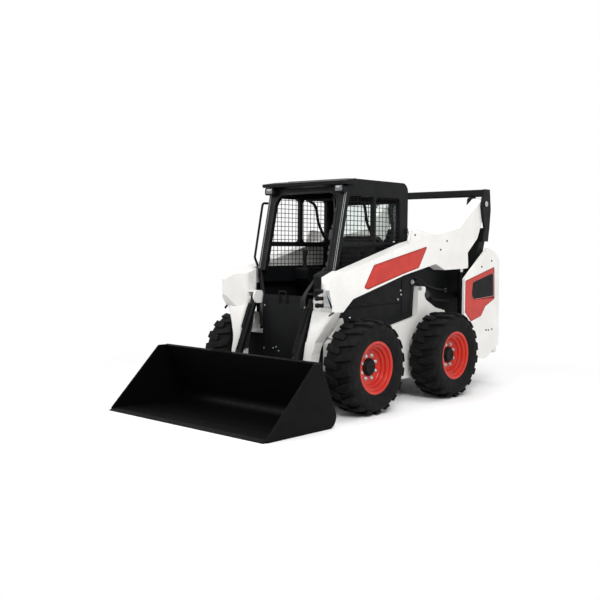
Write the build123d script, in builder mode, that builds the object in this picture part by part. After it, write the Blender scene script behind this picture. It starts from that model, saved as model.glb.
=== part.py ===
from build123d import *
import os
from math import hypot

# Skid steer loader. Millimetres, +Z up, front of the machine towards -Y, its left side towards +X.
# The origin is on the floor, midway between the cutting edge and the tail.

# Overall sizes
half_length = 1900
bucket_half_width = 950
roof_top = 2049
wheelbase = 1245
tail_overhang = 1105
frame_half_width = 545

# Wheels
tyre_radius = 408
tyre_width = 300
tyre_clearance = 45
shoulder_drop = 30
tread_edge = 38
rim_seat_radius = 228
seat_gap = 0.3
rim_half_width = 127
rim_flange = 18
rim_wall = 20
disc_setback = 90
disc_thickness = 15
hub_radius = 75
hub_depth = 40
hub_cap = 48
spindle_radius = 40
axle_radius = 85
axle_flange_radius = 120
running_gap = 0.05

# Frame
rail_width = 75
belly_height = 190
rail_front = 330
plate = 12
bay_wall = 15
bumper_low = 330
bumper_height = 100
bumper_depth = 60
tie_down_x = 330
tie_down_radius = 20

# Engine deck, cover and tailgate
deck_z = 1385
deck_rear_z = 1340
cover_gap = 6
knuckles = (180, 400)
knuckle_length = 50
knuckle_radius = 16
knuckle_pin = 8
door_gap = 10
door_thickness = 36
door_skin = 6
door_low = 445
door_high = 1320
hinge_heights = (780, 1190)
hinge_length = 70
hinge_gap = 5
door_pin_radius = 10

# Lift arms and rear links
arm_clearance = 35
arm_width = 130
arm_side_gap = 6
guard_plate = 20
panel_depth = 4
link_plate = 24
link_pin_radius = 30
head_radius = 62
link_foot_radius = 66
tube_size = 74
tube_wall = 8

# Cylinders
lift_barrel_radius = 42
lift_rod_radius = 27
lift_eye_width = 60
lift_pin_radius = 24
lift_gap = 10
lift_barrel_length = 670
lift_piston = 60
tilt_barrel_radius = 36
tilt_rod_radius = 20
tilt_eye_width = 44
tilt_pin_radius = 22
tilt_barrel_length = 540
tilt_piston = 130
cylinder_wall = 9
gland_length = 40
piston_length = 40
eye_wall = 16

# Arm legs and bucket hinge
leg_setback = 36
leg_width = 84
hinge_pin_radius = 25
hinge_boss_radius = 60
tilt_boss_radius = 46
ear = 20
ear_gap = 4
arm_tube_radius = 45

# Bucket
heel_radius = 90
bucket_wall = 10
side_wall = 12
edge_depth = 200
edge_thickness = 20
lip_height = 45
lip_depth = 24

# Cab
cab_half_width = 470
cab_wall = 40
cab_sill = 1100
pillar_foot_z = 1215
pillar_gap = 4.6
visor_overhang = 30
roof_under = 1985
roof_panel = 8
window_low = 1480
window_high = 1890
vent_low = 1250
vent_high = 1440
pillar_width = 50
divider_width = 40
window_rebate = 10
screen_thickness = 6
entry_margin = 48
frame_depth = 45
rear_window_width = 760
rear_window_height = 420
rear_window_z = 1640
nose_half_width = 270
nose_top = 1000
floor_top = 575
seat_height = 1000
cushion_half_width = 240
cushion_thickness = 120
seat_back_height = 440
console_top = 1230

os.makedirs("parts", exist_ok=True)

rear_axle_y = half_length - tail_overhang
front_axle_y = rear_axle_y - wheelbase
tail_y = half_length


def front(y, z):
    """Point of the side view, with y measured from the front axle."""
    return (front_axle_y + y, z)


def rear(y, z):
    """Point of the side view, with y measured from the rear axle."""
    return (rear_axle_y + y, z)


def side(x):
    """Plane across the machine at x, where a sketch point is (y, z)."""
    return Plane.YZ.offset(x)


# Places across the machine, from the frame outwards
case_inner = frame_half_width - rail_width
deck_half_width = case_inner + bay_wall
arm_inner = deck_half_width + arm_clearance
arm_outer = arm_inner + arm_width
link_inner = arm_inner - arm_side_gap
link_outer = arm_outer + arm_side_gap
plate_inner_face = link_inner - link_plate
plate_outer_face = link_outer + link_plate
fender_x = plate_outer_face + 22
fender_depth = 26
fender_inside = fender_x - plate
leg_outer = arm_inner - leg_setback
leg_inner = leg_outer - leg_width
wheel_centre_x = frame_half_width + tyre_clearance + tyre_width / 2
lift_x = frame_half_width + lift_gap + lift_barrel_radius
tilt_x = leg_inner - 50

# Pins of the lift linkage
link_foot = rear(655, 950)
link_head = rear(845, 1885)
lift_foot = rear(530, 520)
lift_eye = rear(505, 1290)
bucket_hinge = front(-430, 185)
tilt_head = front(-252, 960)
tilt_eye = front(-525, 310)

# Wheels: a tyre on a dished disc wheel, whose hub turns on the axle's spindle
wheels = {
    "front_left": (1, front_axle_y),
    "front_right": (-1, front_axle_y),
    "rear_left": (1, rear_axle_y),
    "rear_right": (-1, rear_axle_y),
}
half_tyre = tyre_width / 2
bead_half_width = rim_half_width - plate
shoulder = tyre_radius - shoulder_drop
flange_top = rim_seat_radius + rim_flange
disc_face = rim_half_width - disc_setback
disc_back = disc_face - disc_thickness
blind_end = disc_back - 10
seat = rim_seat_radius - seat_gap
barrel_inside = seat - rim_wall
bead = bead_half_width + seat_gap
bore = spindle_radius + running_gap
for name, (sign, axle_y) in wheels.items():
    centre = (sign * wheel_centre_x, axle_y, tyre_radius)
    wheel_plane = Plane(centre, x_dir=(sign, 0, 0), z_dir=(0, -sign, 0))
    wheel_axis = Axis(centre, (1, 0, 0))
    with BuildPart() as tyre:
        with BuildSketch(wheel_plane):
            with BuildLine():
                Polyline(
                    (-bead_half_width, flange_top + 10),
                    (-bead_half_width, rim_seat_radius),
                    (bead_half_width, rim_seat_radius),
                    (bead_half_width, flange_top + 10),
                )
                for s in (1, -1):
                    ThreePointArc(
                        (s * bead_half_width, flange_top + 10),
                        (s * half_tyre, (flange_top + shoulder) / 2 + 15),
                        (s * (half_tyre - 8), shoulder),
                    )
                    ThreePointArc(
                        (s * (half_tyre - 8), shoulder),
                        (s * (half_tyre - 16), tyre_radius - 9),
                        (s * (half_tyre - tread_edge), tyre_radius),
                    )
                Line((half_tyre - tread_edge, tyre_radius), (tread_edge - half_tyre, tyre_radius))
            make_face()
        revolve(axis=wheel_axis)
    tyre.part.label = f"tyre_{name}"
    export_step(tyre.part, f"parts/tyre_{name}.step")

    with BuildPart() as rim:
        with BuildSketch(wheel_plane):
            with BuildLine():
                Polyline(
                    (-rim_half_width, barrel_inside),
                    (-rim_half_width, flange_top),
                    (-bead, flange_top),
                    (-bead, seat),
                    (bead, seat),
                    (bead, flange_top),
                    (rim_half_width, flange_top),
                    (rim_half_width, barrel_inside),
                    (rim_half_width - 40, barrel_inside - 4),
                    (disc_face + 22, barrel_inside - 40),
                    (disc_face + 8, barrel_inside - 62),
                    (disc_face, barrel_inside - 70),
                    (disc_face, hub_radius - 8),
                    (disc_face + hub_cap - 6, hub_radius - 14),
                    (disc_face + hub_cap, hub_radius - 30),
                    (disc_face + hub_cap, 0),
                    (blind_end, 0),
                    (blind_end, bore),
                    (-hub_depth, bore),
                    (-hub_depth, hub_radius),
                    (disc_back, hub_radius),
                    (disc_back, barrel_inside - 60),
                    (disc_face, barrel_inside),
                    close=True,
                )
            make_face()
        revolve(axis=wheel_axis)
    rim.part.label = f"rim_{name}"
    export_step(rim.part, f"parts/rim_{name}.step")

# Axle tubes with spindles that stop short of the blind hub bores
spindle_end = wheel_centre_x + blind_end - 3
tube_end = wheel_centre_x - hub_depth - 5
with BuildPart() as axle_housings:
    for axle_y in (front_axle_y, rear_axle_y):
        for radius, end in (
            (axle_flange_radius, frame_half_width + plate),
            (axle_radius, tube_end),
            (spindle_radius, spindle_end),
        ):
            with BuildSketch(side(frame_half_width)):
                with Locations((axle_y, tyre_radius)):
                    Circle(radius)
            extrude(amount=end - frame_half_width)
    mirror(about=Plane.YZ)
axle_housings.part.label = "axle_housings"
export_step(axle_housings.part, "parts/axle_housings.step")

# Frame: two drive cases with the pivot ears behind the cab, joined by a belly plate and end walls
wall_end = tail_y - bumper_depth
case_crest = 768
case_rear_z = 700
case_top = (front(-216, 640), front(550, 690), rear(-235, case_crest), rear(105, case_crest))
with BuildPart() as drive_cases:
    with BuildSketch(side(case_inner)):
        with BuildLine():
            Polyline(
                front(-150, belly_height),
                front(-240, rail_front),
                front(-240, 605),
                *case_top,
                rear(445, case_rear_z),
                (wall_end, case_rear_z),
                (wall_end, bumper_low),
                rear(821, 288),
                rear(605, belly_height),
                close=True,
            )
        make_face()
    extrude(amount=rail_width)
    with BuildSketch(side(case_inner + bay_wall)):
        with BuildLine():
            FilletPolyline(
                rear(-185, case_crest - 40),
                rear(-165, 1062),
                rear(-50, 1056),
                rear(-44, 930),
                rear(121, 846),
                rear(300, 806),
                rear(300, case_crest - 60),
                radius=18,
                close=True,
            )
        make_face()
    extrude(amount=rail_width - bay_wall)
    with BuildSketch(side(frame_half_width - 5)):
        with Locations(lift_foot):
            Circle(lift_pin_radius)
    extrude(amount=fender_inside - frame_half_width + 5)
    mirror(about=Plane.YZ)
drive_cases.part.label = "drive_cases"
export_step(drive_cases.part, "parts/drive_cases.step")

# Belly plate with two inspection slots
belly_front = front_axle_y - 140
belly_rear = rear_axle_y + 605
with BuildPart() as belly_plate:
    with BuildSketch(Plane.XY.offset(belly_height)):
        Polygon(
            (-case_inner, belly_front),
            (case_inner, belly_front),
            (case_inner, belly_rear),
            (-case_inner, belly_rear),
            align=None,
        )
        with Locations((0, front_axle_y), (0, front_axle_y + wheelbase / 2)):
            SlotOverall(300, 90, mode=Mode.SUBTRACT)
    extrude(amount=plate)
belly_plate.part.label = "belly_plate"
export_step(belly_plate.part, "parts/belly_plate.step")

nose_y = front_axle_y - 230
frame_front_y = nose_y + plate
with BuildPart() as frame_ends:
    with BuildSketch(side(-case_inner)):
        Polygon(
            (frame_front_y, 640),
            (frame_front_y, rail_front),
            (belly_front, belly_height),
            (belly_front, belly_height + plate),
            (frame_front_y + plate, rail_front + 4),
            (frame_front_y + plate, 640),
            align=None,
        )
        Polygon(
            (belly_rear, belly_height),
            rear(821, 288),
            (wall_end, bumper_low),
            (wall_end, 520),
            (wall_end - plate, 520),
            (wall_end - plate, bumper_low + plate),
            rear(817, 288 + plate),
            (belly_rear, belly_height + plate),
            align=None,
        )
    extrude(amount=2 * case_inner)
frame_ends.part.label = "frame_ends"
export_step(frame_ends.part, "parts/frame_ends.step")

# Engine bay walls, with the rear link pins and the lugs and pins that the tailgate hangs on
door_front = wall_end + door_gap
door_hinge = (-deck_half_width, door_front + door_thickness / 2)
lug = 22
lug_height = 40
deck_bend = rear_axle_y + 905
with BuildPart() as engine_bay_walls:
    with BuildSketch(side(case_inner)):
        with BuildLine():
            Polyline(
                rear(-195, case_crest),
                rear(-195, deck_z),
                (deck_bend, deck_z),
                (wall_end, deck_rear_z),
                (wall_end, case_rear_z),
                rear(445, case_rear_z),
                rear(105, case_crest),
                close=True,
            )
        make_face()
    extrude(amount=bay_wall)
    with BuildSketch(side(case_inner)):
        with Locations(link_foot):
            Circle(link_pin_radius)
    extrude(amount=fender_inside - case_inner)
    mirror(about=Plane.YZ)
    for z in hinge_heights:
        with BuildSketch(Plane.XY.offset(z - lug_height)):
            Polygon(
                (door_hinge[0] - lug, wall_end),
                (-case_inner, wall_end),
                (-case_inner, door_hinge[1] + lug),
                (door_hinge[0] - lug, door_hinge[1] + lug),
                align=None,
            )
        extrude(amount=lug_height)
        with BuildSketch(Plane.XY.offset(z - hinge_gap)):
            with Locations(door_hinge):
                Circle(door_pin_radius)
        extrude(amount=hinge_length + hinge_gap)
engine_bay_walls.part.label = "engine_bay_walls"
export_step(engine_bay_walls.part, "parts/engine_bay_walls.step")

# Rear fenders: pressed pans with a folded edge and a stepped panel in the outer face
with BuildPart() as rear_fenders:
    with BuildSketch(side(fender_x - fender_depth)):
        with BuildLine():
            fender_outline = FilletPolyline(
                rear(441, 330),
                rear(441, 560),
                rear(405, 700),
                rear(405, 1125),
                rear(841, 1435),
                rear(995, 1396),
                rear(1085, 1300),
                (tail_y, 420),
                rear(845, 290),
                radius=30,
                close=True,
            )
        make_face()
    extrude(amount=fender_depth)
    with BuildSketch(side(fender_x - fender_depth)):
        add(fender_outline)
        make_face()
        offset(amount=-plate, mode=Mode.REPLACE)
    extrude(amount=fender_depth - plate, mode=Mode.SUBTRACT)
    with BuildSketch(side(fender_x)):
        with BuildLine():
            FilletPolyline(
                rear(420, 1105),
                rear(992, 1239),
                rear(1006, 903),
                rear(822, 831),
                rear(742, 736),
                rear(539, 688),
                rear(424, 790),
                radius=16,
                close=True,
            )
        make_face()
    extrude(amount=-panel_depth, mode=Mode.SUBTRACT)
    with BuildSketch(side(fender_x - panel_depth)):
        with BuildLine():
            FilletPolyline(
                rear(572, 1084),
                rear(976, 1174),
                rear(986, 934),
                rear(590, 914),
                rear(551, 962),
                radius=20,
                close=True,
            )
        make_face()
    extrude(amount=-panel_depth, mode=Mode.SUBTRACT)
    mirror(about=Plane.YZ)
rear_fenders.part.label = "rear_fenders"
export_step(rear_fenders.part, "parts/rear_fenders.step")

# Rear links: clevis plates on either side of the arm above, one box section below
tube_centre = rear(865, 2000)
tube_low = tube_centre[1] - tube_size / 2
tube_high = tube_centre[1] + tube_size / 2
tube_rear = tube_centre[0] + tube_size / 2
box_inner = arm_inner + 10
box_outer = arm_outer - 10
bridge = (rear(775, 1500), rear(817, 1640), rear(907, 1640), rear(883, 1500))
with BuildPart() as rear_links:
    for start, top in ((plate_inner_face, tube_low), (link_outer, tube_high)):
        with BuildSketch(side(start)):
            with BuildLine():
                Polyline(
                    (tube_rear, top),
                    rear(927, 1830),
                    bridge[2],
                    bridge[3],
                    bridge[0],
                    bridge[1],
                    rear(780, 1760),
                    rear(757, 1860),
                    rear(770, 1940),
                    rear(805, top),
                    close=True,
                )
            make_face()
        extrude(amount=link_plate)
    with BuildSketch(side(plate_inner_face)):
        Polygon(*bridge, align=None)
    extrude(amount=plate_outer_face - plate_inner_face)
    with BuildSketch(side(box_inner)):
        with BuildLine():
            Polyline(bridge[0], rear(595, 940), rear(715, 940), bridge[3], close=True)
        make_face()
        with Locations(link_foot):
            Circle(link_foot_radius)
            Circle(link_pin_radius + running_gap, mode=Mode.SUBTRACT)
    extrude(amount=box_outer - box_inner)
    with BuildSketch(side(plate_inner_face)):
        with Locations(link_head):
            Circle(link_pin_radius)
    extrude(amount=plate_outer_face + 8 - plate_inner_face)
    mirror(about=Plane.YZ)
rear_links.part.label = "rear_links"
export_step(rear_links.part, "parts/rear_links.step")

with BuildPart() as link_cross_tube:
    with BuildSketch(side(-link_outer)):
        with Locations(tube_centre):
            RectangleRounded(tube_size, tube_size, 14)
            RectangleRounded(tube_size - 2 * tube_wall, tube_size - 2 * tube_wall, 7, mode=Mode.SUBTRACT)
    extrude(amount=2 * link_outer)
link_cross_tube.part.label = "link_cross_tube"
export_step(link_cross_tube.part, "parts/link_cross_tube.step")

# Knee of a lift arm: the side profile, slanted in plan, and a neck that narrows down to the leg
knee_radius = 40
neck_sections = (
    (885, arm_outer, -191, -328, 40),
    (740, arm_inner + 40, -185, -365, 30),
    (620, leg_outer + 16, -262, -392, 15),
    (520, leg_outer, -298, -411, 10),
)
with BuildPart() as knee:
    with BuildSketch(side(leg_inner)):
        with BuildLine():
            Polyline(
                front(-190, 880),
                front(-190, 1230),
                front(-352, 1170),
                front(-434, 1100),
                front(-418, 1010),
                front(-330, 884),
                close=True,
            )
        make_face()
    extrude(amount=arm_width + leg_setback + leg_width)
    with BuildSketch(Plane.XY):
        with BuildLine():
            FilletPolyline(
                (leg_inner, front_axle_y - 90),
                (arm_outer, front_axle_y - 90),
                (arm_outer, front_axle_y - 460),
                (arm_inner, front_axle_y - 330),
                (leg_inner, front_axle_y - 312),
                radius=knee_radius,
                close=True,
            )
        make_face()
    extrude(amount=roof_top, mode=Mode.INTERSECT)
    for z, outer, rear_y, front_y, radius in neck_sections:
        with BuildSketch(Plane.XY.offset(z)):
            with BuildLine():
                FilletPolyline(
                    (leg_inner, front_axle_y + rear_y),
                    (outer, front_axle_y + rear_y),
                    (outer, front_axle_y + front_y),
                    (leg_inner, front_axle_y + front_y),
                    radius=radius,
                    close=True,
                )
            make_face()
    loft(ruled=True)

# Lift arms: a deep beam with a flared rear end, the knee, and a leg down to the bucket
pocket_half_width = lift_eye_width / 2 + 15
with BuildPart() as lift_arms:
    with BuildSketch(side(arm_inner)):
        with BuildLine():
            FilletPolyline(
                front(-280, 1190),
                rear(-473, 1472),
                rear(385, 1628),
                rear(507, 1728),
                rear(810, 1936),
                rear(903, 1870),
                rear(780, 1653),
                rear(723, 1532),
                rear(540, 1385),
                rear(557, 1227),
                rear(126, 1216),
                rear(-34, 1277),
                front(700, 1181),
                front(-58, 988),
                front(-190, 882),
                front(-300, 890),
                radius=20,
                close=True,
            )
        make_face()
        with Locations(link_head):
            Circle(head_radius)
            Circle(link_pin_radius + running_gap, mode=Mode.SUBTRACT)
    extrude(amount=arm_width)
    with BuildSketch(side(arm_outer - guard_plate)):
        with BuildLine():
            FilletPolyline(
                rear(-490, 1440),
                rear(-423, 1596),
                rear(-369, 1605),
                rear(-60, 1557),
                rear(140, 1560),
                rear(100, 1440),
                radius=12,
                close=True,
            )
        make_face()
    extrude(amount=guard_plate)
    add(knee.part)
    with BuildSketch(side(leg_inner)):
        with BuildLine():
            Polyline(
                front(-262, 620),
                front(-392, 620),
                front(-425, 450),
                front(-488, 200),
                front(-372, 172),
                front(-298, 520),
                close=True,
            )
        make_face()
        with Locations(bucket_hinge):
            Circle(hinge_boss_radius)
            Circle(hinge_pin_radius + running_gap, mode=Mode.SUBTRACT)
    extrude(amount=leg_width)
    with BuildSketch(side(lift_x - pocket_half_width)):
        Polygon(
            rear(395, 1100),
            rear(395, 1430),
            rear(625, 1430),
            rear(625, 1100),
            align=None,
        )
    extrude(amount=2 * pocket_half_width, mode=Mode.SUBTRACT)
    with BuildSketch(side(leg_inner)):
        with Locations(tilt_head):
            Circle(tilt_pin_radius)
    extrude(amount=-(leg_inner - tilt_x + tilt_eye_width / 2 + ear_gap + ear))
    with BuildSketch(side(arm_outer)):
        with BuildLine():
            FilletPolyline(
                front(89, 1079),
                front(228, 1278),
                rear(-176, 1449),
                rear(-318, 1242),
                front(680, 1190),
                front(146, 1060),
                radius=14,
                close=True,
            )
        make_face()
    extrude(amount=-panel_depth, mode=Mode.SUBTRACT)
    mirror(about=Plane.YZ)
lift_arms.part.label = "lift_arms"
export_step(lift_arms.part, "parts/lift_arms.step")

with BuildPart() as arm_cross_tube:
    with BuildSketch(side(-leg_inner)):
        with Locations(front(-345, 300)):
            Circle(arm_tube_radius)
            Circle(arm_tube_radius - tube_wall, mode=Mode.SUBTRACT)
    extrude(amount=2 * leg_inner)
arm_cross_tube.part.label = "arm_cross_tube"
export_step(arm_cross_tube.part, "parts/arm_cross_tube.step")

# Lift and tilt cylinders: foot pin, head eye, radii, barrel length and where the piston stands at rest
cylinders = {
    "lift_cylinder": (
        lift_x, lift_foot, lift_eye, lift_barrel_radius, lift_rod_radius, lift_pin_radius, lift_eye_width,
        lift_barrel_length, lift_piston,
    ),
    "tilt_cylinder": (
        tilt_x, tilt_head, tilt_eye, tilt_barrel_radius, tilt_rod_radius, tilt_pin_radius, tilt_eye_width,
        tilt_barrel_length, tilt_piston,
    ),
}
collar = 3
for name, (x, foot, head, barrel, rod, pin, eye_width, barrel_end, piston) in cylinders.items():
    reach = hypot(head[0] - foot[0], head[1] - foot[1])
    direction = (0, (head[0] - foot[0]) / reach, (head[1] - foot[1]) / reach)
    plane = Plane((x, *foot), x_dir=direction, z_dir=(1, 0, 0))
    axis = Axis(plane.origin, plane.x_dir)
    inside = barrel - cylinder_wall
    with BuildPart() as barrels:
        with BuildSketch(plane):
            with BuildLine():
                Polyline(
                    (0, 0),
                    (0, barrel - collar),
                    (barrel_end - gland_length - 15, barrel - collar),
                    (barrel_end - gland_length - 15, barrel),
                    (barrel_end - 6, barrel),
                    (barrel_end, barrel - 6),
                    (barrel_end, rod + running_gap),
                    (barrel_end - gland_length, rod + running_gap),
                    (barrel_end - gland_length, inside),
                    (barrel + cylinder_wall, inside),
                    (barrel + cylinder_wall, 0),
                    close=True,
                )
            make_face()
        revolve(axis=axis)
        with BuildSketch(side(x - eye_width / 2)):
            with Locations(foot):
                Circle(barrel)
        extrude(amount=eye_width)
        with BuildSketch(side(x - barrel - 1)):
            with Locations(foot):
                Circle(pin + running_gap)
        extrude(amount=2 * barrel + 2, mode=Mode.SUBTRACT)
        mirror(about=Plane.YZ)
    barrels.part.label = f"{name}_barrels"
    export_step(barrels.part, f"parts/{name}_barrels.step")

    with BuildPart() as rods:
        with BuildSketch(plane):
            with BuildLine():
                Polyline(
                    (piston, 0),
                    (piston, inside - running_gap),
                    (piston + piston_length, inside - running_gap),
                    (piston + piston_length, rod),
                    (reach, rod),
                    (reach, 0),
                    close=True,
                )
            make_face()
        revolve(axis=axis)
        with BuildSketch(side(x - eye_width / 2)):
            with Locations(head):
                Circle(pin + eye_wall)
        extrude(amount=eye_width)
        with BuildSketch(side(x - barrel)):
            with Locations(head):
                Circle(pin + 1)
        extrude(amount=2 * barrel, mode=Mode.SUBTRACT)
        mirror(about=Plane.YZ)
    rods.part.label = f"{name}_rods"
    export_step(rods.part, f"parts/{name}_rods.step")

# Bucket: a bent floor and back between two side plates, with a stiff lip and a bevelled cutting edge
heel = front(-583, 0)
bucket_top = front(-820, 530)
back_length = hypot(bucket_top[0] - heel[0], bucket_top[1] - heel[1])
back_dir = ((bucket_top[0] - heel[0]) / back_length, (bucket_top[1] - heel[1]) / back_length)
back_out = (back_dir[1], -back_dir[0])


def on_back(along, behind):
    """Point at a distance up the bucket's back and behind its rear face."""
    return (
        heel[0] + along * back_dir[0] + behind * back_out[0],
        heel[1] + along * back_dir[1] + behind * back_out[1],
    )


edge_rear = -half_length + edge_depth
inner_side = bucket_half_width - side_wall
lean = (bucket_wall + bucket_wall * back_out[1]) / back_dir[1]
inner_heel = (heel[0] - bucket_wall * back_out[0] + lean * back_dir[0], bucket_wall)
inner_top = on_back(back_length, -bucket_wall)
with BuildPart() as bucket_shell:
    with BuildSketch(side(-inner_side)):
        with BuildLine():
            FilletPolyline((edge_rear, 0), heel, bucket_top, radius=heel_radius)
            FilletPolyline((edge_rear, bucket_wall), inner_heel, inner_top, radius=heel_radius - bucket_wall)
            Line((edge_rear, 0), (edge_rear, bucket_wall))
            Line(bucket_top, inner_top)
        make_face()
        Polygon(
            on_back(back_length - lip_height, -bucket_wall),
            on_back(back_length - lip_height, lip_depth - bucket_wall),
            on_back(back_length, lip_depth - bucket_wall),
            on_back(back_length, -bucket_wall),
            align=None,
        )
    extrude(amount=2 * inner_side)
bucket_shell.part.label = "bucket_shell"
export_step(bucket_shell.part, "parts/bucket_shell.step")

side_front = -half_length + 30
with BuildPart() as bucket_sides:
    with BuildSketch(side(inner_side)):
        with BuildLine():
            FilletPolyline((side_front, 0), heel, bucket_top, radius=heel_radius)
            Polyline(bucket_top, (bucket_top[0] - 80, bucket_top[1]), (side_front, 24), (side_front, 0))
        make_face()
    extrude(amount=side_wall)
    mirror(about=Plane.YZ)
bucket_sides.part.label = "bucket_sides"
export_step(bucket_sides.part, "parts/bucket_sides.step")

with BuildPart() as cutting_edge:
    with BuildSketch(side(-inner_side)):
        Polygon(
            (-half_length, 0),
            (edge_rear, 0),
            (edge_rear, edge_thickness),
            (-half_length + 45, edge_thickness),
            (-half_length, 5),
            align=None,
        )
    extrude(amount=2 * inner_side)
cutting_edge.part.label = "cutting_edge"
export_step(cutting_edge.part, "parts/cutting_edge.step")

# Quick coupler: two back plates with hinge ears and tilt ears, tied by two bars
coupler_plate = 20
coupler_low = 70
coupler_high = 470
coupler_inner = 250
coupler_outer = leg_outer + ear_gap + ear + 22
hinge_ears = (leg_inner - ear_gap - ear, leg_outer + ear_gap)
tilt_ear = tilt_x - tilt_eye_width / 2 - ear_gap - ear
with BuildPart() as quick_coupler:
    with BuildSketch(side(coupler_inner)):
        Polygon(
            on_back(coupler_low, 0),
            on_back(coupler_high, 0),
            on_back(coupler_high, coupler_plate),
            on_back(coupler_low, coupler_plate),
            align=None,
        )
    extrude(amount=coupler_outer - coupler_inner)
    for start in hinge_ears:
        with BuildSketch(side(start)):
            Polygon(
                on_back(90, 10),
                (bucket_hinge[0] - 14, bucket_hinge[1] - hinge_boss_radius + 2),
                bucket_hinge,
                (bucket_hinge[0] + 10, bucket_hinge[1] + hinge_boss_radius - 1),
                on_back(300, 10),
                align=None,
            )
            with Locations(bucket_hinge):
                Circle(hinge_boss_radius)
        extrude(amount=ear)
    for start in (tilt_ear, hinge_ears[0]):
        with BuildSketch(side(start)):
            Polygon(
                on_back(180, 10),
                (tilt_eye[0] + 10, tilt_eye[1] - tilt_boss_radius + 2),
                tilt_eye,
                (tilt_eye[0] + 6, tilt_eye[1] + tilt_boss_radius - 1),
                on_back(430, 10),
                align=None,
            )
            with Locations(tilt_eye):
                Circle(tilt_boss_radius)
                Circle(tilt_pin_radius, mode=Mode.SUBTRACT)
        extrude(amount=ear)
    with BuildSketch(side(hinge_ears[0])):
        with Locations(bucket_hinge):
            Circle(hinge_pin_radius)
    extrude(amount=hinge_ears[1] + ear + 8 - hinge_ears[0])
    mirror(about=Plane.YZ)
quick_coupler.part.label = "quick_coupler"
export_step(quick_coupler.part, "parts/quick_coupler.step")

bar_height = 60
bar_depth = 45
with BuildPart() as coupler_bars:
    for low in (coupler_low + 20, coupler_high - 10 - bar_height):
        with BuildSketch(side(-coupler_inner)):
            Polygon(
                on_back(low, 0),
                on_back(low + bar_height, 0),
                on_back(low + bar_height, bar_depth),
                on_back(low, bar_depth),
                align=None,
            )
        extrude(amount=2 * coupler_inner)
coupler_bars.part.label = "coupler_bars"
export_step(coupler_bars.part, "parts/coupler_bars.step")

# Front of the machine below the cab: a narrow nose between the tilt cylinders
with BuildPart() as front_panel:
    with BuildSketch(Plane.XZ.offset(-nose_y)):
        with BuildLine():
            panel_outline = FilletPolyline(
                (-nose_half_width, rail_front),
                (-nose_half_width, nose_top),
                (nose_half_width, nose_top),
                (nose_half_width, rail_front),
                radius=20,
                close=True,
            )
        make_face()
    extrude(amount=-plate)
    with BuildSketch(Plane.XZ.offset(-nose_y)):
        add(panel_outline)
        make_face()
        offset(amount=-45, mode=Mode.REPLACE)
    extrude(amount=-panel_depth, mode=Mode.SUBTRACT)
front_panel.part.label = "front_panel"
export_step(front_panel.part, "parts/front_panel.step")

# Nose sides run back to the cab walls, and their top edges rise to the feet of the pillars
wall_inside = cab_half_width - cab_wall
pillar_foot = front(-95, pillar_foot_z)
nose_side_low = 700
nose_end = (wall_inside, pillar_foot[0] - pillar_gap)
pillar_run = hypot(nose_end[0] - nose_half_width, nose_end[1] - frame_front_y)
nose_dir = ((nose_end[0] - nose_half_width) / pillar_run, (nose_end[1] - frame_front_y) / pillar_run)
nose_run = pillar_run * (cab_half_width - nose_half_width) / (wall_inside - nose_half_width)
nose_plane = Plane(
    (nose_half_width, frame_front_y, 0), x_dir=(*nose_dir, 0), z_dir=(nose_dir[1], -nose_dir[0], 0)
)
with BuildPart() as nose_sides:
    with BuildSketch(nose_plane):
        with BuildLine():
            Polyline(
                (0, nose_side_low),
                (nose_run, nose_side_low),
                (nose_run, cab_sill),
                (pillar_run, cab_sill),
                (pillar_run, pillar_foot_z),
                (0, nose_top),
                close=True,
            )
        make_face()
    extrude(amount=-plate)
    mirror(about=Plane.YZ)
nose_sides.part.label = "nose_sides"
export_step(nose_sides.part, "parts/nose_sides.step")

# Black covers low on the sides, inboard of the arms
cover_x = case_inner + 30
with BuildPart() as side_covers:
    with BuildSketch(side(cover_x)):
        with BuildLine():
            cover_outline = Polyline(
                front(-70, 651),
                case_top[1],
                rear(-243, case_crest),
                rear(-205, 1020),
                rear(-205, 1180),
                front(-70, 1090),
                close=True,
            )
        make_face()
    extrude(amount=plate)
    with BuildSketch(side(cover_x + plate)):
        add(cover_outline)
        make_face()
        offset(amount=-45, mode=Mode.REPLACE)
    extrude(amount=-panel_depth, mode=Mode.SUBTRACT)
    mirror(about=Plane.YZ)
side_covers.part.label = "side_covers"
export_step(side_covers.part, "parts/side_covers.step")

# Cab: side walls with rebated windows over a low screened opening, a rear wall, a roof with a visor and a front frame
cab_back = rear_axle_y - 260
wall_back = cab_back - cab_wall
pillar_top = front(75, roof_under)
sill_y = front_axle_y - 70
roof_bend = cab_back - 95
eave_z = roof_under - 41
pillar_lean = (pillar_top[0] - pillar_foot[0]) / (pillar_top[1] - pillar_foot[1])
divider_y = cab_back - 515
window_back = cab_back - 135


def behind_pillar(z):
    """Point on the front edge of a side window, in line with the pillar."""
    return (pillar_foot[0] + pillar_width + pillar_lean * (z - pillar_foot_z), z)


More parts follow.
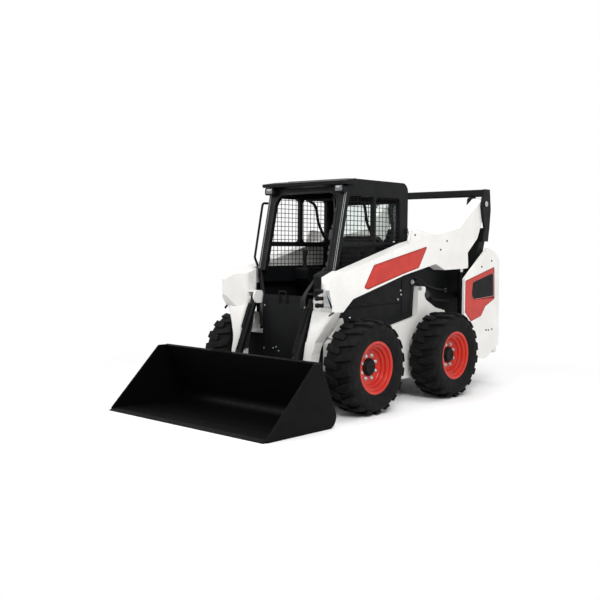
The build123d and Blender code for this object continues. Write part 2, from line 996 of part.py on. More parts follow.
windows = (
    (
        behind_pillar(window_low),
        behind_pillar(window_high),
        (divider_y - divider_width / 2, window_high),
        (divider_y - divider_width / 2, window_low),
    ),
    (
        (divider_y + divider_width / 2, window_low),
        (divider_y + divider_width / 2, window_high),
        (window_back, window_high),
        (window_back, window_low),
    ),
    (
        behind_pillar(vent_low),
        behind_pillar(vent_high),
        (window_back, vent_high),
        (window_back, vent_low),
    ),
)
window_radius = 35
with BuildPart() as cab_walls:
    with BuildSketch(side(wall_inside)):
        with BuildLine():
            Polyline(
                (sill_y, cab_sill),
                pillar_foot,
                pillar_top,
                (roof_bend, roof_under),
                (wall_back, eave_z),
                (wall_back, cab_sill),
                close=True,
            )
        make_face()
        for outline in windows:
            with BuildLine():
                FilletPolyline(*outline, radius=window_radius, close=True)
            make_face(mode=Mode.SUBTRACT)
    extrude(amount=cab_wall)
    for outline in windows:
        with BuildSketch(side(cab_half_width)):
            with BuildLine():
                FilletPolyline(*outline, radius=window_radius, close=True)
            make_face()
            offset(amount=window_rebate, mode=Mode.REPLACE)
        extrude(amount=-panel_depth, mode=Mode.SUBTRACT)
    mirror(about=Plane.YZ)
cab_walls.part.label = "cab_walls"
export_step(cab_walls.part, "parts/cab_walls.step")

with BuildPart() as side_screens:
    for outline in windows:
        with BuildSketch(side(wall_inside + 15)):
            with BuildLine():
                FilletPolyline(*outline, radius=window_radius, close=True)
            make_face()
            offset(amount=-seat_gap, mode=Mode.REPLACE)
        extrude(amount=screen_thickness)
    mirror(about=Plane.YZ)
side_screens.part.label = "side_screens"
export_step(side_screens.part, "parts/side_screens.step")

rear_wall_top = eave_z - 4
with BuildPart() as cab_rear_wall:
    with BuildSketch(Plane.XZ.offset(-cab_back)):
        with Locations((0, (cab_sill + rear_wall_top) / 2)):
            Rectangle(2 * cab_half_width, rear_wall_top - cab_sill)
        with Locations((0, rear_window_z)):
            RectangleRounded(rear_window_width, rear_window_height, 40, mode=Mode.SUBTRACT)
    extrude(amount=cab_wall)
cab_rear_wall.part.label = "cab_rear_wall"
export_step(cab_rear_wall.part, "parts/cab_rear_wall.step")

roof_front = front_axle_y + 150
visor_half_width = cab_half_width + visor_overhang
roof_base = roof_top - roof_panel
with BuildPart() as cab_roof:
    with BuildSketch(side(-cab_half_width)):
        with BuildLine():
            FilletPolyline(
                (roof_front, roof_base), (cab_back, roof_base), (cab_back, rear_wall_top), radius=85
            )
            Polyline(
                (cab_back, rear_wall_top),
                (wall_back, eave_z),
                (roof_bend, roof_under),
                (roof_front, roof_under),
                (roof_front, roof_base),
            )
        make_face()
    extrude(amount=2 * cab_half_width)
    with BuildSketch(side(-visor_half_width)):
        Polygon(
            (roof_front, roof_under),
            front(-5, roof_under),
            front(-12, roof_under + 30),
            (roof_front, roof_base),
            align=None,
        )
    extrude(amount=2 * visor_half_width)
    with BuildSketch(Plane.XY.offset(roof_base)):
        with Locations((0, (roof_front + roof_bend) / 2 + 10)):
            RectangleRounded(2 * cab_half_width - 150, roof_bend - roof_front - 60, 60)
    extrude(amount=roof_panel, taper=30)
cab_roof.part.label = "cab_roof"
export_step(cab_roof.part, "parts/cab_roof.step")

# Front frame of the cab, in the slope of its pillars, with a round-cornered entry
slope = hypot(pillar_top[0] - pillar_foot[0], pillar_top[1] - pillar_foot[1])
slope_dir = ((pillar_top[0] - pillar_foot[0]) / slope, (pillar_top[1] - pillar_foot[1]) / slope)
front_plane = Plane((0, *pillar_foot), x_dir=(1, 0, 0), z_dir=(0, -slope_dir[1], slope_dir[0]))
entry_half_width = wall_inside - entry_margin
with BuildPart() as cab_front_frame:
    with BuildSketch(front_plane):
        Polygon(
            (-wall_inside, 0),
            (wall_inside, 0),
            (wall_inside, slope - 12),
            (-wall_inside, slope - 12),
            align=None,
        )
        with BuildLine():
            FilletPolyline(
                (-entry_half_width, -200),
                (-entry_half_width, slope - 58),
                (entry_half_width, slope - 58),
                (entry_half_width, -200),
                radius=130,
                close=True,
            )
        make_face(mode=Mode.SUBTRACT)
    extrude(amount=-frame_depth)
cab_front_frame.part.label = "cab_front_frame"
export_step(cab_front_frame.part, "parts/cab_front_frame.step")

with BuildPart() as rear_window_pane:
    with BuildSketch(Plane.XZ.offset(-cab_back + 15)):
        with Locations((0, rear_window_z)):
            RectangleRounded(
                rear_window_width - 2 * seat_gap, rear_window_height - 2 * seat_gap, 40 - seat_gap
            )
    extrude(amount=screen_thickness)
rear_window_pane.part.label = "rear_window_pane"
export_step(rear_window_pane.part, "parts/rear_window_pane.step")

# Inside of the cab
with BuildPart() as cab_floor:
    with BuildSketch(Plane.XY.offset(floor_top - plate)):
        Polygon(
            (-case_inner, frame_front_y + plate),
            (case_inner, frame_front_y + plate),
            (case_inner, wall_back + 5),
            (-case_inner, wall_back + 5),
            align=None,
        )
    extrude(amount=plate)
cab_floor.part.label = "cab_floor"
export_step(cab_floor.part, "parts/cab_floor.step")

with BuildPart() as seat_base:
    with BuildSketch(Plane.XY.offset(floor_top)):
        with Locations((0, cab_back - 265)):
            RectangleRounded(600, 420, 30)
    extrude(amount=seat_height - floor_top)
seat_base.part.label = "seat_base"
export_step(seat_base.part, "parts/seat_base.step")

with BuildPart() as seat_cushion:
    with BuildSketch(Plane.XY.offset(seat_height + seat_gap)):
        with Locations((0, cab_back - 335)):
            RectangleRounded(2 * cushion_half_width, 460, 60)
    extrude(amount=cushion_thickness)
seat_cushion.part.label = "seat_cushion"
export_step(seat_cushion.part, "parts/seat_cushion.step")

with BuildPart() as seat_back:
    with BuildSketch(Plane.XZ.offset(-cab_back + 55)):
        with Locations((0, seat_height + cushion_thickness + 2 * seat_gap + seat_back_height / 2)):
            RectangleRounded(2 * cushion_half_width, seat_back_height, 80)
    extrude(amount=110)
seat_back.part.label = "seat_back"
export_step(seat_back.part, "parts/seat_back.step")

# Consoles along the cab walls, each with a joystick in a boot
console_inside = cushion_half_width + 20
console_front = cab_back - 615
console_rear = cab_back - 135
with BuildPart() as consoles:
    with BuildSketch(side(console_inside)):
        with BuildLine():
            FilletPolyline(
                (console_front, console_top - 110),
                (console_front, console_top),
                (console_rear, console_top),
                (console_rear, seat_height),
                (console_front + 140, seat_height),
                radius=25,
                close=True,
            )
        make_face()
    extrude(amount=wall_inside - console_inside)
    for radius, height, taper in ((26, 40, 12), (14, 150, 0)):
        with BuildSketch(Plane.XY.offset(console_top)):
            with Locations(((console_inside + wall_inside) / 2, console_front + 60)):
                Circle(radius)
        extrude(amount=height, taper=taper)
    mirror(about=Plane.YZ)
consoles.part.label = "consoles"
export_step(consoles.part, "parts/consoles.step")

lamp_x = cab_half_width - 45
lamp_y = front_axle_y + 54
with BuildPart() as work_lights:
    with BuildSketch(Plane.XZ.offset(-lamp_y)):
        with Locations((lamp_x, roof_under - 40)):
            RectangleRounded(110, 62, 18)
    extrude(amount=50)
    with BuildSketch(Plane.XY.offset(roof_under - 15)):
        with Locations((lamp_x, lamp_y - 14)):
            Rectangle(40, 26)
    extrude(amount=15)
    mirror(about=Plane.YZ)
work_lights.part.label = "work_lights"
export_step(work_lights.part, "parts/work_lights.step")

# Grab rail on the right front pillar
rail_x = -cab_half_width - 29
rail_radius = 11
with BuildPart() as grab_rail:
    with BuildLine() as rail_path:
        FilletPolyline(
            (-cab_half_width, *front(65, 1842)),
            (rail_x, *front(65, 1842)),
            (rail_x, *front(-5, 1842)),
            (rail_x, *front(-108, 1330)),
            (rail_x, *front(-65, 1247)),
            (-cab_half_width, *front(-65, 1247)),
            radius=[13, 30, 30, 13],
        )
    with BuildSketch(Plane(rail_path.line @ 0, z_dir=rail_path.line % 0)):
        Circle(rail_radius)
    sweep()
grab_rail.part.label = "grab_rail"
export_step(grab_rail.part, "parts/grab_rail.step")

# Rear end: engine, deck, louvred cover, tailgate and bumper
with BuildPart() as engine_block:
    with BuildSketch(Plane.XY.offset(belly_height + plate)):
        with Locations((0, rear_axle_y + 170)):
            RectangleRounded(620, 820, 40)
    extrude(amount=850)
engine_block.part.label = "engine_block"
export_step(engine_block.part, "parts/engine_block.step")

deck_front = cab_back + 10
deck_end = rear_axle_y + 300
cover_hinge = (deck_end + 8, deck_z + plate + 28)
with BuildPart() as engine_deck:
    with BuildSketch(side(-deck_half_width)):
        Polygon(
            (deck_front, deck_z),
            (deck_end, deck_z),
            (deck_end, deck_z + plate),
            (deck_front, deck_z + plate),
            align=None,
        )
    extrude(amount=2 * deck_half_width)
    for x in knuckles:
        with BuildSketch(side(x)):
            Polygon(
                (deck_end - 60, deck_z + plate),
                (deck_end, deck_z + plate),
                cover_hinge,
                (deck_end - 6, cover_hinge[1] + 10),
                align=None,
            )
            with Locations(cover_hinge):
                Circle(knuckle_radius)
        extrude(amount=-20)
        with BuildSketch(side(x - hinge_gap)):
            with Locations(cover_hinge):
                Circle(knuckle_pin)
        extrude(amount=knuckle_length + 2 * hinge_gap)
    mirror(about=Plane.YZ)
engine_deck.part.label = "engine_deck"
export_step(engine_deck.part, "parts/engine_deck.step")

cover_low = deck_z + cover_gap
cover_front = deck_end + cover_gap
louvre_length = 300
louvre_width = 22
louvre_pitch = 55
louvre_rows = 8
with BuildPart() as engine_cover:
    with BuildSketch(side(-deck_half_width)):
        with BuildLine():
            Polyline(
                (cover_front, cover_low),
                (deck_bend, cover_low),
                (wall_end, deck_rear_z + cover_gap),
                (wall_end, deck_rear_z + cover_gap + plate),
                (deck_bend + 3, cover_low + plate),
                (cover_front, cover_low + plate),
                close=True,
            )
        make_face()
    extrude(amount=2 * deck_half_width)
    with BuildSketch(Plane.XY.offset(cover_low)):
        with Locations((0, (cover_front + deck_bend) / 2 + 30)):
            with GridLocations(louvre_length + 60, louvre_pitch, 2, louvre_rows):
                SlotOverall(louvre_length, louvre_width)
    extrude(amount=plate, mode=Mode.SUBTRACT)
    for x in knuckles:
        with BuildSketch(side(x + hinge_gap)):
            Polygon(
                (cover_hinge[0], cover_hinge[1] - 12),
                (cover_hinge[0] + 60, cover_low + 4),
                (cover_hinge[0] + 60, cover_low + plate),
                (cover_hinge[0], cover_hinge[1] + knuckle_radius - 2),
                align=None,
            )
            with Locations(cover_hinge):
                Circle(knuckle_radius)
        extrude(amount=knuckle_length - 2 * hinge_gap)
        with BuildSketch(side(x)):
            with Locations(cover_hinge):
                Circle(knuckle_pin + running_gap)
        extrude(amount=knuckle_length, mode=Mode.SUBTRACT)
    mirror(about=Plane.YZ)
engine_cover.part.label = "engine_cover"
export_step(engine_cover.part, "parts/engine_cover.step")

# Tailgate: a pan with a grille of slots, on the right bay wall by two upright pins
door_half_width = case_inner - 12
grille_length = 560
grille_width = 26
grille_pitch = 52
grille_rows = 9
grille_z = 1000
with BuildPart() as rear_door:
    with BuildSketch(Plane.XZ.offset(-door_front)):
        with BuildLine():
            door_outline = FilletPolyline(
                (-door_half_width, door_low),
                (-door_half_width, door_high),
                (door_half_width, door_high),
                (door_half_width, door_low),
                radius=40,
                close=True,
            )
        make_face()
    extrude(amount=-door_thickness)
    with BuildSketch(Plane.XZ.offset(-door_front)):
        add(door_outline)
        make_face()
        offset(amount=-30, mode=Mode.REPLACE)
    extrude(amount=-(door_thickness - door_skin), mode=Mode.SUBTRACT)
    with BuildSketch(Plane.XZ.offset(-door_front)):
        with Locations((0, grille_z)):
            with GridLocations(grille_length, grille_pitch, 1, grille_rows):
                SlotOverall(grille_length, grille_width)
    extrude(amount=-door_thickness, mode=Mode.SUBTRACT)
    for z in hinge_heights:
        with BuildSketch(Plane.XY.offset(z + hinge_gap)):
            with Locations(door_hinge):
                Circle(2 * door_pin_radius)
            Polygon(
                (door_hinge[0], door_hinge[1] - 12),
                (-door_half_width + 4, door_hinge[1] - 12),
                (-door_half_width + 4, door_hinge[1] + 12),
                (door_hinge[0], door_hinge[1] + 12),
                align=None,
            )
        extrude(amount=hinge_length - 2 * hinge_gap)
        with BuildSketch(Plane.XY.offset(z)):
            with Locations(door_hinge):
                Circle(door_pin_radius + running_gap)
        extrude(amount=hinge_length, mode=Mode.SUBTRACT)
rear_door.part.label = "rear_door"
export_step(rear_door.part, "parts/rear_door.step")

bumper_half_width = fender_x - fender_depth
with BuildPart() as rear_bumper:
    with BuildSketch(Plane.XY.offset(bumper_low)):
        with BuildLine():
            FilletPolyline(
                (-bumper_half_width, wall_end),
                (-bumper_half_width, tail_y),
                (bumper_half_width, tail_y),
                (bumper_half_width, wall_end),
                radius=8,
                close=True,
            )
        make_face()
        with Locations((-tie_down_x, door_hinge[1]), (tie_down_x, door_hinge[1])):
            Circle(tie_down_radius, mode=Mode.SUBTRACT)
    extrude(amount=bumper_height)
rear_bumper.part.label = "rear_bumper"
export_step(rear_bumper.part, "parts/rear_bumper.step")
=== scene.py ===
import math

import bmesh
import bpy
from mathutils import Matrix, Vector


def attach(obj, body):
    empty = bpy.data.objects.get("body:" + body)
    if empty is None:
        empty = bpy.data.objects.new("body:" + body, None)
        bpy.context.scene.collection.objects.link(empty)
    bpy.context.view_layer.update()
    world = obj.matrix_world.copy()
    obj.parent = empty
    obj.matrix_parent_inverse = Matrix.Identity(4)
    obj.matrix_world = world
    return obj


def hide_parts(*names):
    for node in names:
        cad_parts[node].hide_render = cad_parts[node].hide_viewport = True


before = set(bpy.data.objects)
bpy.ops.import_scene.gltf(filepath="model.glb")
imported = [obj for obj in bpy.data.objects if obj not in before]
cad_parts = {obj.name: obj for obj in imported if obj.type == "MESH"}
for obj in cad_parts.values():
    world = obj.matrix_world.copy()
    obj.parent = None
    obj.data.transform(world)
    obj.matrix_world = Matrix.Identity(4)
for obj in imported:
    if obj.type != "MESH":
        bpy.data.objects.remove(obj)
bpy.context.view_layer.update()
scene = bpy.context.scene
print("frame loaded:", len(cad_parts), "nodes")

# camera at the photograph's standpoint, ahead of the machine and to its left
shot = {
    "place": Vector((5.370, -6.415, 1.442)),
    "look": Vector((-0.6702, 0.7396, -0.0621)),
    "right": Vector((0.7407, 0.6718, 0.0074)),
    "lens": 52.77,
    "sensor": 36,
    "shift": (0.0021, 0.0009),
}
look, right = shot["look"].normalized(), shot["right"].normalized()
up = right.cross(look).normalized()
camera = bpy.data.objects.new("camera", bpy.data.cameras.new("camera"))
camera.matrix_world = Matrix.Translation(shot["place"]) @ Matrix((right, up, -look)).transposed().to_4x4()
camera.data.lens, camera.data.sensor_width = shot["lens"], shot["sensor"]
camera.data.shift_x, camera.data.shift_y = shot["shift"]
scene.collection.objects.link(camera)
scene.camera = camera
print("camera set")


def hexColour(code):  # sRGB hex to linear light
    parts = [int(code[i:i + 2], 16) / 255 for i in (1, 3, 5)]
    return [c / 12.92 if c <= 0.04045 else ((c + 0.055) / 1.055) ** 2.4 for c in parts] + [1]


def addNode(tree, kind, inputs={}, **settings):
    node = tree.nodes.new("ShaderNode" + kind)
    for name, value in settings.items():
        setattr(node, name, value)
    for name, value in inputs.items():
        if isinstance(value, bpy.types.NodeSocket):
            tree.links.new(value, node.inputs[name])
        else:
            node.inputs[name].default_value = value
    return node


# what each finish gives the eye; sizes in millimetres, the peel and grain drawn coarser than life so that they show
finishLooks = {
    # baked white coat, a faint orange peel and the slightest warm patches
    "whitePowderCoat": {"base": "#eeedea", "shade": "#e3e1dd", "patch": 240, "rough": (0.30, 0.42),
                        "grain": 3.5, "depth": 0.08, "specular": 0.45, "edge": 4, "worn": "#c9c7c2", "wear": 0.25},
    # satin black coat that takes little light, its edges painted greyer as a highlight
    "blackPowderCoat": {"base": "#111214", "shade": "#0b0c0d", "patch": 160, "rough": (0.40, 0.55),
                        "grain": 3.0, "depth": 0.10, "specular": 0.12, "edge": 4, "worn": "#2c2d2f", "wear": 0.45},
    # glossy red wheel and panel enamel, paler along its edges
    "redEnamel": {"base": "#c62a18", "shade": "#ae2114", "patch": 120, "rough": (0.26, 0.38),
                  "grain": 4.0, "depth": 0.06, "specular": 0.45, "edge": 3, "worn": "#dc4a34", "wear": 0.35},
    # the same enamel darkened as painted shade, for where a panel's border slopes away from the light
    "shadedEnamel": {"base": "#a82315", "shade": "#8f1c10", "patch": 120, "rough": (0.30, 0.42),
                   "grain": 4.0, "depth": 0.06, "specular": 0.35},
    # charcoal tyre compound, chalky and finely pitted
    "tyreRubber": {"base": "#151515", "shade": "#0e0e0e", "patch": 45, "rough": (0.66, 0.86),
                   "grain": 1.6, "depth": 0.30, "specular": 0.12, "edge": 3, "worn": "#2a2a2a", "wear": 0.55},
    # black moulded cover with a leathered mould texture
    "mouldedPlastic": {"base": "#131416", "shade": "#0d0e0f", "patch": 90, "rough": (0.48, 0.62),
                       "cells": 1.8, "depth": 0.12, "specular": 0.14, "edge": 3, "worn": "#2a2b2d", "wear": 0.3},
    # bucket paint, rubbed along the edges and streaked by use
    "bucketPaint": {"base": "#080808", "shade": "#050505", "patch": 130, "rough": (0.36, 0.56), "streak": (6, 1, 1),
                    "grain": 9.0, "depth": 0.15, "specular": 0.06, "edge": 5, "worn": "#3a3a3b", "wear": 0.5},
    # black coated wire
    "wireCoat": {"base": "#0e0f10", "shade": "#090a0a", "patch": 30, "rough": (0.40, 0.52),
                 "grain": 1.2, "depth": 0.05, "specular": 0.12},
    # dark grained seat cover
    "seatVinyl": {"base": "#1b1c1e", "shade": "#131416", "patch": 70, "rough": (0.46, 0.60),
                  "cells": 2.4, "depth": 0.35, "specular": 0.2},
    # polished rod with faint lengthwise polish lines
    "chromedRod": {"base": "#cfd2d5", "shade": "#b7babd", "patch": 60, "rough": (0.08, 0.18), "streak": (1, 1, 0.05),
                   "grain": 1.0, "depth": 0.01, "metallic": 1.0, "specular": 0.5},
    # sand cast iron, grey and coarse
    "castIron": {"base": "#3d3e40", "shade": "#2c2d2f", "patch": 60, "rough": (0.55, 0.75), "metallic": 0.3,
                 "grain": 2.2, "depth": 0.35, "specular": 0.4, "edge": 4, "worn": "#5a5b5d", "wear": 0.4},
    # bright zinc on bolts and nuts, with the spangle of the bath
    "zincPlate": {"base": "#c3c5c6", "shade": "#9fa2a4", "patch": 14, "rough": (0.25, 0.42),
                  "cells": 3.0, "depth": 0.05, "metallic": 0.9, "specular": 0.5},
    # hydraulic hose cover with its cloth wrap mark
    "hoseCover": {"base": "#151617", "shade": "#0f1011", "patch": 20, "rough": (0.55, 0.70),
                  "grain": 0.9, "depth": 0.15, "specular": 0.35},
    # ribbed clear lens, its grey and darker patches a painted reflection of dark surroundings in the reflector
    "lampLens": {"base": "#6d7276", "shade": "#2e3133", "patch": 18, "rough": (0.08, 0.16),
                 "cells": 6.0, "depth": 0.4, "specular": 0.6, "coat": 1.0},
    # pale satin strips on the cab's pillars, painted highlights along the pillar edges
    "brightTrimAndHighlight": {"base": "#b4b6b7", "shade": "#8f9192", "patch": 40, "rough": (0.25, 0.38),
                   "grain": 2.0, "depth": 0.04, "metallic": 0.6, "specular": 0.5},
}
finishes = {}


def makeFinish(name, looks):
    material = bpy.data.materials.new(name)
    material.use_nodes = True
    tree = material.node_tree
    shader = tree.nodes["Principled BSDF"]
    place = addNode(tree, "TexCoord").outputs["Object"]
    if "streak" in looks:
        place = addNode(tree, "Mapping", {"Vector": place, "Scale": looks["streak"]}).outputs["Vector"]
    patches = addNode(tree, "TexNoise", {"Vector": place, "Scale": 1000 / looks["patch"], "Detail": 5.0,
                                         "Roughness": 0.6}).outputs["Fac"]
    spread = addNode(tree, "MapRange", {"Value": patches, "From Min": 0.3, "From Max": 0.7}).outputs["Result"]
    colour = addNode(tree, "Mix", {0: spread, 6: hexColour(looks["base"]), 7: hexColour(looks["shade"])},
                     data_type="RGBA").outputs[2]
    if "cells" in looks:
        height = addNode(tree, "TexVoronoi", {"Vector": place, "Scale": 1000 / looks["cells"]}).outputs["Distance"]
    else:
        height = addNode(tree, "TexNoise", {"Vector": place, "Scale": 1000 / looks["grain"],
                                            "Detail": 3.0}).outputs["Fac"]
    bump = addNode(tree, "Bump", {"Height": height, "Strength": 0.6, "Distance": looks["depth"] / 1000})
    # the edge tone mixed in below is real wear on the bucket and cast iron, and a painted highlight where black
    # paint, plastic and tyres turn greyer at their edges
    if "edge" in looks:  # rounded edges catch light and lose a little colour
        rounded = addNode(tree, "Bevel", {"Radius": looks["edge"] / 1000}, samples=4).outputs["Normal"]
        flat = addNode(tree, "NewGeometry").outputs["Normal"]
        meet = addNode(tree, "VectorMath", {0: rounded, 1: flat}, operation="DOT_PRODUCT").outputs["Value"]
        edges = addNode(tree, "MapRange", {"Value": meet, "From Min": 0.995, "From Max": 0.86,
                                           "To Max": looks["wear"]}).outputs["Result"]
        edgeSheenAndWearMask = addNode(tree, "Math", {0: edges, 1: spread}, operation="MULTIPLY").outputs["Value"]
        colour = addNode(tree, "Mix", {0: edgeSheenAndWearMask, 6: colour, 7: hexColour(looks["worn"])},
                         data_type="RGBA").outputs[2]
        tree.links.new(rounded, bump.inputs["Normal"])
    rough = addNode(tree, "MapRange", {"Value": patches, "From Min": 0.3, "From Max": 0.7,
                                       "To Min": looks["rough"][0], "To Max": looks["rough"][1]}).outputs["Result"]
    tree.links.new(colour, shader.inputs["Base Color"])
    tree.links.new(rough, shader.inputs["Roughness"])
    tree.links.new(bump.outputs["Normal"], shader.inputs["Normal"])
    shader.inputs["Metallic"].default_value = looks.get("metallic", 0.0)
    shader.inputs["Specular IOR Level"].default_value = looks["specular"]
    shader.inputs["Coat Weight"].default_value = looks.get("coat", 0.0)
    finishes[name] = material


for finishName, finishLook in finishLooks.items():
    makeFinish(finishName, finishLook)

# window glass, nearly clear with a faint green tint and a thin film of dust
glass = bpy.data.materials.new("windowGlass")
glass.use_nodes = True
glassShader = glass.node_tree.nodes["Principled BSDF"]
glassPlace = addNode(glass.node_tree, "TexCoord").outputs["Object"]
dust = addNode(glass.node_tree, "TexNoise", {"Vector": glassPlace, "Scale": 60.0, "Detail": 6.0}).outputs["Fac"]
film = addNode(glass.node_tree, "MapRange", {"Value": dust, "From Min": 0.4, "From Max": 0.8, "To Min": 0.02,
                                             "To Max": 0.12}).outputs["Result"]
glass.node_tree.links.new(film, glassShader.inputs["Roughness"])
glassShader.inputs["Base Color"].default_value = hexColour("#e6efec")
glassShader.inputs["Transmission Weight"].default_value = 1.0
glassShader.inputs["IOR"].default_value = 1.45
finishes["windowGlass"] = glass

slotFinish = {
    "white_paint": "whitePowderCoat", "black_paint": "blackPowderCoat", "red_paint": "redEnamel",
    "tyre_rubber": "tyreRubber", "black_plastic": "mouldedPlastic", "black_mesh": "wireCoat",
    "clear_glass": "windowGlass", "seat_vinyl": "seatVinyl", "lamp_lens": "mouldedPlastic",
    "engine_iron": "castIron", "chromed_rod": "chromedRod", "bucket_black": "bucketPaint",
}
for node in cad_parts.values():
    for held in node.material_slots:
        held.material = finishes[slotFinish[held.material.name.split(".")[0]]]
print("finishes made:", len(finishes))


def madeMesh(name, bm):  # puts a bmesh into a mesh and lets it go
    mesh = bpy.data.meshes.new(name)
    bm.to_mesh(mesh)
    bm.free()
    return mesh


def keepPiece(name, bm, finish, body, slot, smooth=35, stands=()):
    bmesh.ops.recalc_face_normals(bm, faces=bm.faces)
    mesh = madeMesh(name, bm)
    mesh.materials.append(finishes[finish])
    mesh.shade_smooth()
    mesh.set_sharp_from_angle(angle=math.radians(smooth))
    piece = bpy.data.objects.new(name, mesh)
    scene.collection.objects.link(piece)
    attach(piece, body)
    if stands:
        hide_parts(*stands)


def spunShape(name, profile, steps):  # profile of (x, radius) turned round the X axis
    bm = bmesh.new()
    verts = [bm.verts.new((x, 0, r)) for x, r in profile]
    edges = [bm.edges.new(pair) for pair in zip(verts, verts[1:])]
    bmesh.ops.spin(bm, geom=verts + edges, cent=(0, 0, 0), axis=(1, 0, 0), angle=2 * math.pi,
                   steps=steps, use_merge=True)
    bmesh.ops.remove_doubles(bm, verts=bm.verts, dist=1e-5)
    return madeMesh(name, bm)


def towards(axis):  # turn that takes Z to the axis
    return Vector((0, 0, 1)).rotation_difference(Vector(axis)).to_matrix().to_4x4()


def stamp(bm, mesh, turn):  # copies a small made shape into the piece
    placed = mesh.copy()
    placed.transform(turn)
    bm.from_mesh(placed)
    bpy.data.meshes.remove(placed)


def stampBoth(bm, mesh, turn):  # a shape on the left side and its mirror image on the right
    stamp(bm, mesh, turn)
    stamp(bm, mesh, Matrix.Scale(-1, 4, (1, 0, 0)) @ turn)


def oblong(wide, high):  # outline of a rectangle round the origin
    return [(-wide / 2, -high / 2), (wide / 2, -high / 2), (wide / 2, high / 2), (-wide / 2, high / 2)]


def plateShape(name, outline, thick, corner=0.0, edge=0.0015):  # plate drawn in local XY and raised along Z
    bm = bmesh.new()
    bm.faces.new([bm.verts.new((u, v, 0)) for u, v in outline])
    if corner:
        bmesh.ops.bevel(bm, geom=bm.verts[:], offset=corner, segments=4, profile=0.5, affect="VERTICES", material=-1)
    grown = bmesh.ops.extrude_face_region(bm, geom=bm.faces[:])["geom"]
    bmesh.ops.translate(bm, verts=[v for v in grown if isinstance(v, bmesh.types.BMVert)], vec=(0, 0, thick))
    bmesh.ops.recalc_face_normals(bm, faces=bm.faces)
    crown = [e for e in bm.edges if all(v.co.z > thick / 2 for v in e.verts)]
    bmesh.ops.bevel(bm, geom=crown, offset=edge, segments=2, profile=0.5, affect="EDGES", material=-1)
    return madeMesh(name, bm)


def onSide(x, sign=1):  # local X, Y, Z become the machine's Y, Z and outwards from the plane x
    return Matrix(((0, 0, sign, sign * x), (1, 0, 0, 0), (0, 1, 0, 0), (0, 0, 0, 1)))


def onFront(y):  # local X, Y, Z become the machine's X, Z and forwards from the plane y
    return Matrix(((1, 0, 0, 0), (0, 0, -1, y), (0, 1, 0, 0), (0, 0, 0, 1)))


def bendPath(points, radius, steps=6):  # corners of a path turned into arcs
    points = [Vector(p) for p in points]
    path = [points[0]]
    for before, corner, after in zip(points, points[1:], points[2:]):
        first = (before - corner).normalized() * radius + corner
        last = (after - corner).normalized() * radius + corner
        pull = math.cos((corner - before).angle(after - corner) / 2)
        for share in [n / steps for n in range(steps + 1)]:
            a, b, c = (1 - share) ** 2, 2 * share * (1 - share) * pull, share ** 2
            path.append((first * a + corner * b + last * c) / (a + b + c))
    return path + [points[-1]]


def sweepTube(bm, path, radius, sides=10):  # round bar that follows a path
    rings = []
    for number, point in enumerate(path):
        along = Vector(path[min(number + 1, len(path) - 1)]) - Vector(path[max(number - 1, 0)])
        ring = bmesh.ops.create_circle(bm, cap_ends=number in (0, len(path) - 1), segments=sides, radius=radius,
                                       matrix=Matrix.Translation(point) @ towards(along))["verts"]
        rings.append(list({e for v in ring for e in v.link_edges}))
    for one, other in zip(rings, rings[1:]):
        bmesh.ops.bridge_loops(bm, edges=one + other)


# one hexagon head on its washer, 20 mm across flats, standing on Z = 0
bolt = {"washer": (0.0165, 0.0155), "washerHigh": 0.003, "head": 0.0115, "headHigh": 0.009, "chamfer": 0.0016}
bm = bmesh.new()
bmesh.ops.create_cone(bm, cap_ends=True, segments=16, radius1=bolt["washer"][0], radius2=bolt["washer"][1],
                      depth=bolt["washerHigh"], matrix=Matrix.Translation((0, 0, bolt["washerHigh"] / 2)))
head = bmesh.ops.create_cone(bm, cap_ends=True, segments=6, radius1=bolt["head"], radius2=bolt["head"],
                             depth=bolt["headHigh"],
                             matrix=Matrix.Translation((0, 0, bolt["washerHigh"] + bolt["headHigh"] / 2)))["verts"]
crown = [e for e in bm.edges if all(v in head and v.co.z > bolt["headHigh"] for v in e.verts)]
bmesh.ops.bevel(bm, geom=crown, offset=bolt["chamfer"], segments=1, profile=0.5, affect="EDGES", material=-1)
boltShape = madeMesh("boltShape", bm)


def stampBolt(bm, place, axis, size, turn=Matrix()):
    stamp(bm, boltShape, turn @ Matrix.Translation(place) @ towards(axis) @ Matrix.Scale(size, 4))


def boltRow(name, places, axis, size, finish, body, slot):
    bm = bmesh.new()
    for place in places:
        stampBolt(bm, place, axis, size)
    keepPiece(name, bm, finish, body, slot, smooth=25)


# tyres: a smooth carcass with two staggered rows of slanted lugs that wrap the shoulder
tyre = {
    "wheels": {"front_left": (0.740, -0.450), "front_right": (-0.740, -0.450),
               "rear_left": (0.740, 0.795), "rear_right": (-0.740, 0.795)},
    "axleHeight": 0.408, "outer": 0.4075, "crown": 0.003, "flat": 0.112, "shoulder": 0.036, "steps": 112,
    "lugs": 19, "reach": (-0.014, 0.160), "width": (0.050, 0.070), "slant": 0.045, "curl": 1.3, "draft": 0.16,
    "depth": 0.026, "lugEdge": 0.07,
    "side": [(0.112, 0.232), (0.1285, 0.229), (0.1325, 0.234), (0.1365, 0.252), (0.1420, 0.272), (0.146, 0.288),
             (0.1485, 0.306), (0.1495, 0.325), (0.1485, 0.340), (0.145, 0.354), (0.138, 0.367), (0.124, 0.377),
             (0.095, 0.383), (0.050, 0.385)],
}


def tyrePoint(across, along, down, turned, sign):  # lug's flat sizes wrapped onto the tread and shoulder
    level = min(across, tyre["flat"])
    bend = max(across - tyre["flat"], 0) / tyre["shoulder"]
    x = level + (tyre["shoulder"] - down) * math.sin(bend)
    fall = tyre["crown"] * (level / tyre["flat"]) ** 2 + tyre["shoulder"] * (1 - math.cos(bend))
    r = tyre["outer"] - fall - down * math.cos(bend)
    angle = turned + along / tyre["outer"]
    return Vector((sign * x, r * math.sin(angle), r * math.cos(angle)))


